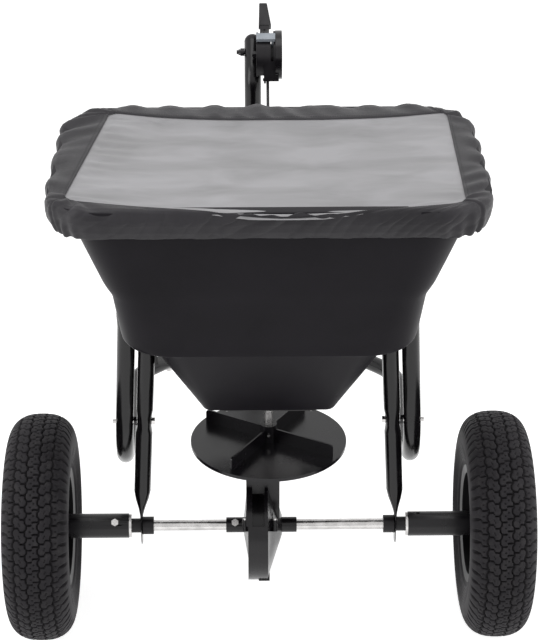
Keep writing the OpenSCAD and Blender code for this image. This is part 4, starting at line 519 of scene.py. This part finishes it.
def stitches(name, path, normal, pitch, length, thick, look):
    """Row of stitches along a closed path: each is a spindle from a small grid, laid along the path and half
    sunk in the cloth."""
    closed = np.vstack([path, path[:1]])
    gaps = np.linalg.norm(np.diff(closed, axis=0), axis=1)
    reach = np.concatenate([[0], np.cumsum(gaps)])
    count = int(reach[-1] / pitch)
    spots = np.arange(count) * reach[-1] / count
    centre = np.stack([np.interp(spots, reach, closed[:, k]) for k in range(3)], -1)
    ahead = np.stack([np.interp((spots + 0.5) % reach[-1], reach, closed[:, k]) for k in range(3)], -1) - centre
    ahead /= np.linalg.norm(ahead, axis=1, keepdims=True)
    up = normal[(spots / reach[-1] * len(path)).astype(int).clip(0, len(path) - 1)]
    side = np.cross(ahead, up)
    along = np.array([-1.0, -0.7, 0.0, 0.7, 1.0])
    girth = np.array([0.35, 0.85, 1.0, 0.85, 0.35]) * thick / 2
    turn = np.arange(6) * math.pi / 3
    local = np.stack(np.broadcast_arrays(along[:, None] * length / 2, girth[:, None] * np.cos(turn),
                                         girth[:, None] * np.sin(turn)), -1).reshape(-1, 3)
    points = centre[:, None] + local[None, :, :1] * ahead[:, None] + local[None, :, 1:2] * side[:, None] \
        + (local[None, :, 2:] + thick * 0.2) * up[:, None]
    faces = grid_faces(len(along), 6, True)
    every = (faces[None] + (np.arange(count) * len(local))[:, None, None]).reshape(-1, 4)
    return add_mesh(name, points.reshape(-1, 3), every, look, "frame")


cover_points, cover_reach = cover_surface()
cover = add_mesh("cover_cloth", cover_points.reshape(-1, 3), grid_faces(len(cover_reach), COVER_COLS, True)[:, ::-1],
                 "cover_fabric", "frame")
add_uv(cover, np.arange(COVER_COLS + 1) / COVER_COLS * COVER_LENGTH, cover_reach, True)
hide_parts("rain_cover")
cover_up = surface_normals(cover_points, True)
cover_up *= np.sign(cover_up[..., 2:] + 1e-6)
row_at = int(np.searchsorted(cover_reach, 4.5))
window_stitches = stitches("window_stitches", cover_points[row_at], cover_up[row_at], 3.4, 2.5, 0.5, "black_rubber")


def film_surface():
    """Window film: it hangs between its edges as a shallow dish, with short creases that run in from the side
    seams, long folds and thin ridges along the near edge, puckers along the far edge and a dented far corner."""
    u = np.linspace(-1.02, 1.02, 330)[None, :]
    v = np.linspace(-1.01, 1.03, 190)[:, None]
    x, y = window_place(u, v)
    half_x, half_y = WINDOW_OUTLINE[:2]
    from_left, from_right, from_near, from_far = half_x * (u + 1), half_x * (1 - u), half_y * (v + 1), half_y * (1 - v)
    sag = 6.5 * np.clip(1 - u ** 2, 0, 1) ** 0.7 * np.clip(1 - v ** 2, 0, 1) ** 0.8
    fade = np.clip(np.minimum(np.minimum(from_left, from_right), np.minimum(from_near, from_far)) / 12, 0, 1)
    bend = y + 6 * np.sin(x / 37)
    left = 1.1 * np.exp(-from_left / 55) * (np.sin(bend / 4.2 + 0.4) + 0.6 * np.sin(bend / 9.1))
    right = 0.9 * np.exp(-from_right / 45) * (np.sin(bend / 5.3 + 1.7) + 0.6 * np.sin(bend / 11.7))
    near = 1.8 * np.exp(-from_near / 26) * (np.sin(x / 33.0 + y / 9 + 0.8) + 0.7 * np.sin(x / 61.0 - y / 12))
    far = 2.6 * np.exp(-from_far / 42) * (np.sin(x / 17.0 + 1.2) + 0.8 * np.sin(x / 31.0 - y / 26))
    near = near + 1.5 * np.exp(-((from_near - 10) / 4.5) ** 2) * np.clip(np.sin(x / 34.0 + 2.0), 0, 1)
    dent = -3.2 * np.exp(-((x + 175) / 55) ** 2 - (from_far / 34) ** 2) * (0.5 + 0.5 * np.sin((x + 0.8 * y) / 8.5))
    broad = 0.9 * np.sin(x / 58 + y / 47 + 0.5) * np.sin(y / 39 - x / 120) + 0.5 * np.sin(x / 45 - y / 17)
    rise = COVER_TOP - 2.6 - sag + fade * (left + right + near + far + dent + broad - 0.8)
    rise = np.minimum(rise, COVER_TOP - 2.2 + fade * 3.0)
    return bent_over(np.stack(np.broadcast_arrays(x, y, rise), -1))


film_points = film_surface()
film = add_mesh("window_sheet", film_points.reshape(-1, 3), grid_faces(*film_points.shape[:2], False),
                "window_film", "frame")
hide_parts("cover_window")


# HOPPER

HOPPER_COLS = 200
# Down the outside and up the inside: half width, half depth, corner radius, rise, and the reach of the rounding
HOPPER = [
    (92, 61, 14, 225, 0), (158, 135, 44, 347, 7), (182, 136, 50, 347, 7), (191, 136.5, 50, 349.3, 4),
    (197.7, 137, 50, 356, 4), (200, 138, 50, 365, 6), (209, 150, 44, 431, 6), (220, 153.5, 50, 447, 7),
    (272, 174, 64, 576.5, 2.5), (282, 188, 77, 576.5, 1.5), (282, 188, 77, 570, 0.4), (285.5, 191, 79, 570, 0.6),
    (285.5, 191, 79, 579.2, 1.2), (269, 171, 61, 579.2, 2.5), (217, 150.5, 47, 447, 7), (206, 147, 41, 431, 6),
    (197, 135, 47, 365, 6), (194, 134, 47, 356, 5),
    (182, 133, 47, 350, 6), (157, 132, 41, 350, 7), (91, 58, 11, 228, 0),
]


def filled(stations, step):
    """Adds points between stations that are further apart than a step."""
    out = [stations[0]]
    for before, after in zip(stations, stations[1:]):
        count = max(1, math.ceil(np.linalg.norm(after - before) / step))
        out += [before + (after - before) * k / count for k in range(1, count + 1)]
    return np.array(out)


def box_faces(low, high, first):
    """Corners of a box and its six faces, with the faces' numbers counted from the first."""
    corners = [(x, y, z) for x in (low[0], high[0]) for y in (low[1], high[1]) for z in (low[2], high[2])]
    sides = [(0, 1, 3, 2), (4, 6, 7, 5), (0, 4, 5, 1), (2, 3, 7, 6), (0, 2, 6, 4), (1, 5, 7, 3)]
    return corners, [tuple(first + k for k in face) for face in sides]


def hopper_piece():
    """Moulded shell: rounded stations up the outside, over the rim and down the inside, closed at the floor,
    with the walls' slight waviness. The two ports are cut through the floor."""
    table = np.array(HOPPER, float)
    rows = filled(round_profile(table[:, :4], table[:, 4]), 12.0)
    share = np.arange(HOPPER_COLS) / HOPPER_COLS
    points = []
    for half_x, half_y, radius, rise in rows:
        flat, out = box_outline(share, half_x, half_y, radius, (230.0, 160.0, 56.0))
        wave = 0.25 * np.sin(flat[:, 0] / 37 + rise / 51) * np.sin(flat[:, 1] / 29 - rise / 43)
        flat = flat + (tapered(flat) - flat) * np.interp(rise, [447, 576.5], [0, 1])
        points.append(np.column_stack([flat + out * wave[:, None], np.full(len(flat), rise)]))
    faces = grid_faces(len(rows), HOPPER_COLS, True).tolist()
    faces.append(list(range(HOPPER_COLS))[::-1])
    faces.append([(len(rows) - 1) * HOPPER_COLS + k for k in range(HOPPER_COLS)])
    mesh = bpy.data.meshes.new("hopper_shell")
    mesh.from_pydata(world(points).reshape(-1, 3).tolist(), [], faces)
    shell = bpy.data.objects.new("hopper_shell", mesh)
    bpy.context.scene.collection.objects.link(shell)
    left, left_sides = box_faces((-46, 9, 220), (-14, 34, 232), 0)
    right, right_sides = box_faces((14, 9, 220), (46, 34, 232), 8)
    cutter_mesh = bpy.data.meshes.new("port_cutter")
    cutter_mesh.from_pydata(world(left + right).tolist(), [], left_sides + right_sides)
    cutter = bpy.data.objects.new("port_cutter", cutter_mesh)
    bpy.context.scene.collection.objects.link(cutter)
    cut = shell.modifiers.new("ports", "BOOLEAN")
    cut.object = cutter
    cut.solver = "EXACT"
    bpy.context.view_layer.update()
    depsgraph = bpy.context.evaluated_depsgraph_get()
    done = bpy.data.meshes.new_from_object(shell.evaluated_get(depsgraph))
    shell.modifiers.clear()
    shell.data = done
    bpy.data.objects.remove(cutter)
    done.shade_smooth()
    done.set_sharp_from_angle(angle=math.radians(38))
    done.materials.clear()
    done.materials.append(LOOKS["hopper_plastic"])
    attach(shell, "frame")
    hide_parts("hopper")
    return shell


hopper = hopper_piece()


# TYRES

TYRE_R, TYRE_HALF, TYRE_MID, LIP_R, LIP_HALF = 165.0, 47.0, 120.5, 86.0, 37.85
STRIP_HALF = 46.6
WHEEL_X = 330.0
BLOCKS = 60
BAND_EDGES = (9.0, 26.5)
BAND_MIDDLES = np.array([0.0, 17.8, 35.0])
# A round cross-section has the power 2, and a higher one has squarer shoulders
CROWN_POWER = 2.5


def crown(across):
    """Radius of the tread at a distance from the wheel's middle plane."""
    return TYRE_MID + (TYRE_R - TYRE_MID) * (1 - np.clip(np.abs(across) / TYRE_HALF, 0, 1) ** CROWN_POWER) ** (1 / CROWN_POWER)


def soft_step(value, width):
    """0 below zero and 1 above the width, with a smooth ramp between."""
    t = np.clip(value / width, 0, 1)
    return t * t * (3 - 2 * t)


def tread_relief(way, across):
    """Height of the tread, 0 in a groove and 1 on a block, at a way round in mm and a distance across. Bands of
    blocks are set off by half a pitch, the grooves between bands jog at each block, and the cross grooves step
    in the middle of each band and widen on the shoulders."""
    pitch = 2 * math.pi * TYRE_R / BLOCKS
    side = np.abs(across)
    jog = 1.2 * np.tanh(3 * np.sin(2 * math.pi * way / pitch))
    relief = np.ones(np.broadcast_shapes(way.shape, across.shape))
    for edge in BAND_EDGES:
        relief = np.minimum(relief, soft_step(np.abs(side - edge - jog) - 0.7, 0.9))
    band = np.searchsorted(BAND_EDGES, side)
    shift = pitch / 2 * (band % 2)
    step = 2.5 * np.tanh(1.6 * (np.where(band == 0, across, side) - BAND_MIDDLES[band]))
    cross = (way + step + shift) % pitch - pitch / 2
    relief = np.minimum(relief, soft_step(np.abs(cross) - 0.7 - 1.5 * soft_step(side - 37, 4.0), 0.9))
    pit = np.hypot((way + step + shift + pitch / 2) % pitch - pitch / 2, side % 15.0 - 2.2) - 0.8
    return np.minimum(relief, 0.4 + 0.6 * soft_step(pit, 0.7))


def tyre_tread(side, name, body):
    """Tread strip of a tyre: a grid round the wheel and across it, lifted along the crown's normal by its relief."""
    around = 1152
    across = np.concatenate([np.linspace(-STRIP_HALF, -41, 10), np.linspace(-40, 40, 66),
                             np.linspace(41, STRIP_HALF, 10)])[None, :]
    angle = np.arange(around + 1)[:, None] * 2 * math.pi / around
    slope = np.gradient(crown(across[0]), across[0])[None, :]
    lean = np.sqrt(1 + slope ** 2)
    relief = 1 + (tread_relief(angle * TYRE_R, across) - 1) * soft_step(46.0 - np.abs(across), 3.0)
    height = 3.6 * (relief - 1)
    radius = crown(across) + height / lean
    x = across - height * slope / lean + side * WHEEL_X
    points = np.stack(np.broadcast_arrays(x, radius * np.cos(angle), radius * np.sin(angle)), -1)[:-1]
    faces = grid_faces(around + 1, across.size, False) % (around * across.size)
    tread = add_mesh(name, points, faces, "tyre_rubber", body)
    add_relief(tread, relief[:-1].ravel())
    return tread


def tyre_wall(side, face, name, body):
    """Side wall of a tyre: the outline from the tread strip's edge to the bead, with a rim guard and fine rings,
    turned round the axle."""
    start = math.acos((STRIP_HALF / TYRE_HALF) ** (CROWN_POWER / 2))
    lean = np.linspace(start, 0, 12)
    upper = np.stack([TYRE_HALF * np.cos(lean) ** (2 / CROWN_POWER),
                      TYRE_MID + (TYRE_R - TYRE_MID) * np.sin(lean) ** (2 / CROWN_POWER)], -1)
    share = np.linspace(0.015, 1, 90)
    lower = np.stack([TYRE_HALF - (TYRE_HALF - LIP_HALF) * share ** 1.6, TYRE_MID - (TYRE_MID - LIP_R) * share], -1)
    line = np.vstack([upper, lower])
    rings = 0.4 * np.sin(line[:, 1] * 2 * math.pi / 3.6) * np.interp(line[:, 1], [98, 101, 117, 120], [0, 1, 1, 0])
    guard = 1.3 * np.exp(-((line[:, 1] - 93.5) / 2.0) ** 2) - 0.5 * np.exp(-((line[:, 1] - 96.8) / 0.9) ** 2)
    line[:, 0] += rings + guard
    line = np.vstack([line, [[LIP_HALF - 1.0, LIP_R - 2.5], [36.2, 79.0], [36.0, 76.3], [30.0, 76.25]]])
    steps = 288
    angle = np.arange(steps + 1)[:, None] * 2 * math.pi / steps
    x = side * WHEEL_X + face * line[None, :, 0]
    points = np.stack(np.broadcast_arrays(x, line[None, :, 1] * np.cos(angle), line[None, :, 1] * np.sin(angle)), -1)[:-1]
    faces = grid_faces(steps + 1, len(line), False) % (steps * len(line))
    wall = add_mesh(name, points, faces if face > 0 else faces[:, ::-1], "tyre_rubber", body)
    add_relief(wall, 1.0)
    return wall


for side, label, body in ((-1, "left", "drive_axle"), (1, "right", "free_wheel")):
    tread = tyre_tread(side, "tread_" + label, body)
    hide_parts("tyre_" + label)
    for face, place in ((-1, "low_x"), (1, "high_x")):
        tyre_wall(side, face, f"tyre_wall_{label}_{place}", body)


# STUDIO

def area_light(name, place, target, size, power):
    """Soft square light at a place, aimed at a target."""
    data = bpy.data.lights.new(name, "AREA")
    data.shape = "RECTANGLE"
    data.size, data.size_y = size
    data.energy = power
    light = bpy.data.objects.new(name, data)
    bpy.context.scene.collection.objects.link(light)
    light.location = place
    light.rotation_euler = (Vector(target) - Vector(place)).to_track_quat("-Z", "Y").to_euler()


middle = (AXLE.x, AXLE.y, 0.45)
area_light("key_left", (-2.2, -1.2, 1.6), middle, (1.4, 1.8), 22)
area_light("key_right", (2.2, -1.0, 1.6), middle, (1.4, 1.8), 20)
area_light("overhead", (0, -0.3, 3.0), middle, (2.2, 1.6), 17)

def shown_rays(tree):
    """1 for the rays that show the background: the camera's, and those that mirrors and clear pieces send on."""
    rays = add(tree, "ShaderNodeLightPath").outputs
    shown = times(tree, rays["Is Camera Ray"], rays["Is Glossy Ray"], "MAXIMUM")
    return times(tree, shown, rays["Is Transmission Ray"], "MAXIMUM")


# White wherever the background is seen, while the light that falls on the object stays soft and low
world_tree = bpy.data.worlds.new("studio")
bpy.context.scene.world = world_tree
world_tree.use_nodes = True
tree = world_tree.node_tree
tree.nodes.clear()
lit = add(tree, "ShaderNodeBackground", {0: (1, 1, 1, 1), 1: 0.34}).outputs[0]
plain = add(tree, "ShaderNodeBackground", {0: (1, 1, 1, 1), 1: 1.0}).outputs[0]
sky = add(tree, "ShaderNodeMixShader", {0: shown_rays(tree), 1: lit, 2: plain}).outputs[0]
add(tree, "ShaderNodeOutputWorld", {0: sky})

# The floor's own glow brings it to white in the open, and its matt share keeps the object's shadow
floor_mesh = bpy.data.meshes.new("floor")
floor_mesh.from_pydata([(-6, -6, 0), (6, -6, 0), (6, 6, 0), (-6, 6, 0)], [], [(0, 1, 2, 3)])
floor = bpy.data.objects.new("floor", floor_mesh)
bpy.context.scene.collection.objects.link(floor)
floor_look = bpy.data.materials.new("studio_floor")
floor_look.use_nodes = True
tree = floor_look.node_tree
tree.nodes.clear()
matt = add(tree, "ShaderNodeBsdfDiffuse", {0: (0.8, 0.8, 0.8, 1)}).outputs[0]
glow = add(tree, "ShaderNodeEmission", {0: (1, 1, 1, 1), 1: times(tree, shown_rays(tree), 0.85)}).outputs[0]
paint = add(tree, "ShaderNodeAddShader", {0: matt, 1: glow}).outputs[0]
add(tree, "ShaderNodeOutputMaterial", {0: paint})
floor_mesh.materials.append(floor_look)

bpy.context.scene.view_settings.view_transform = "Standard"
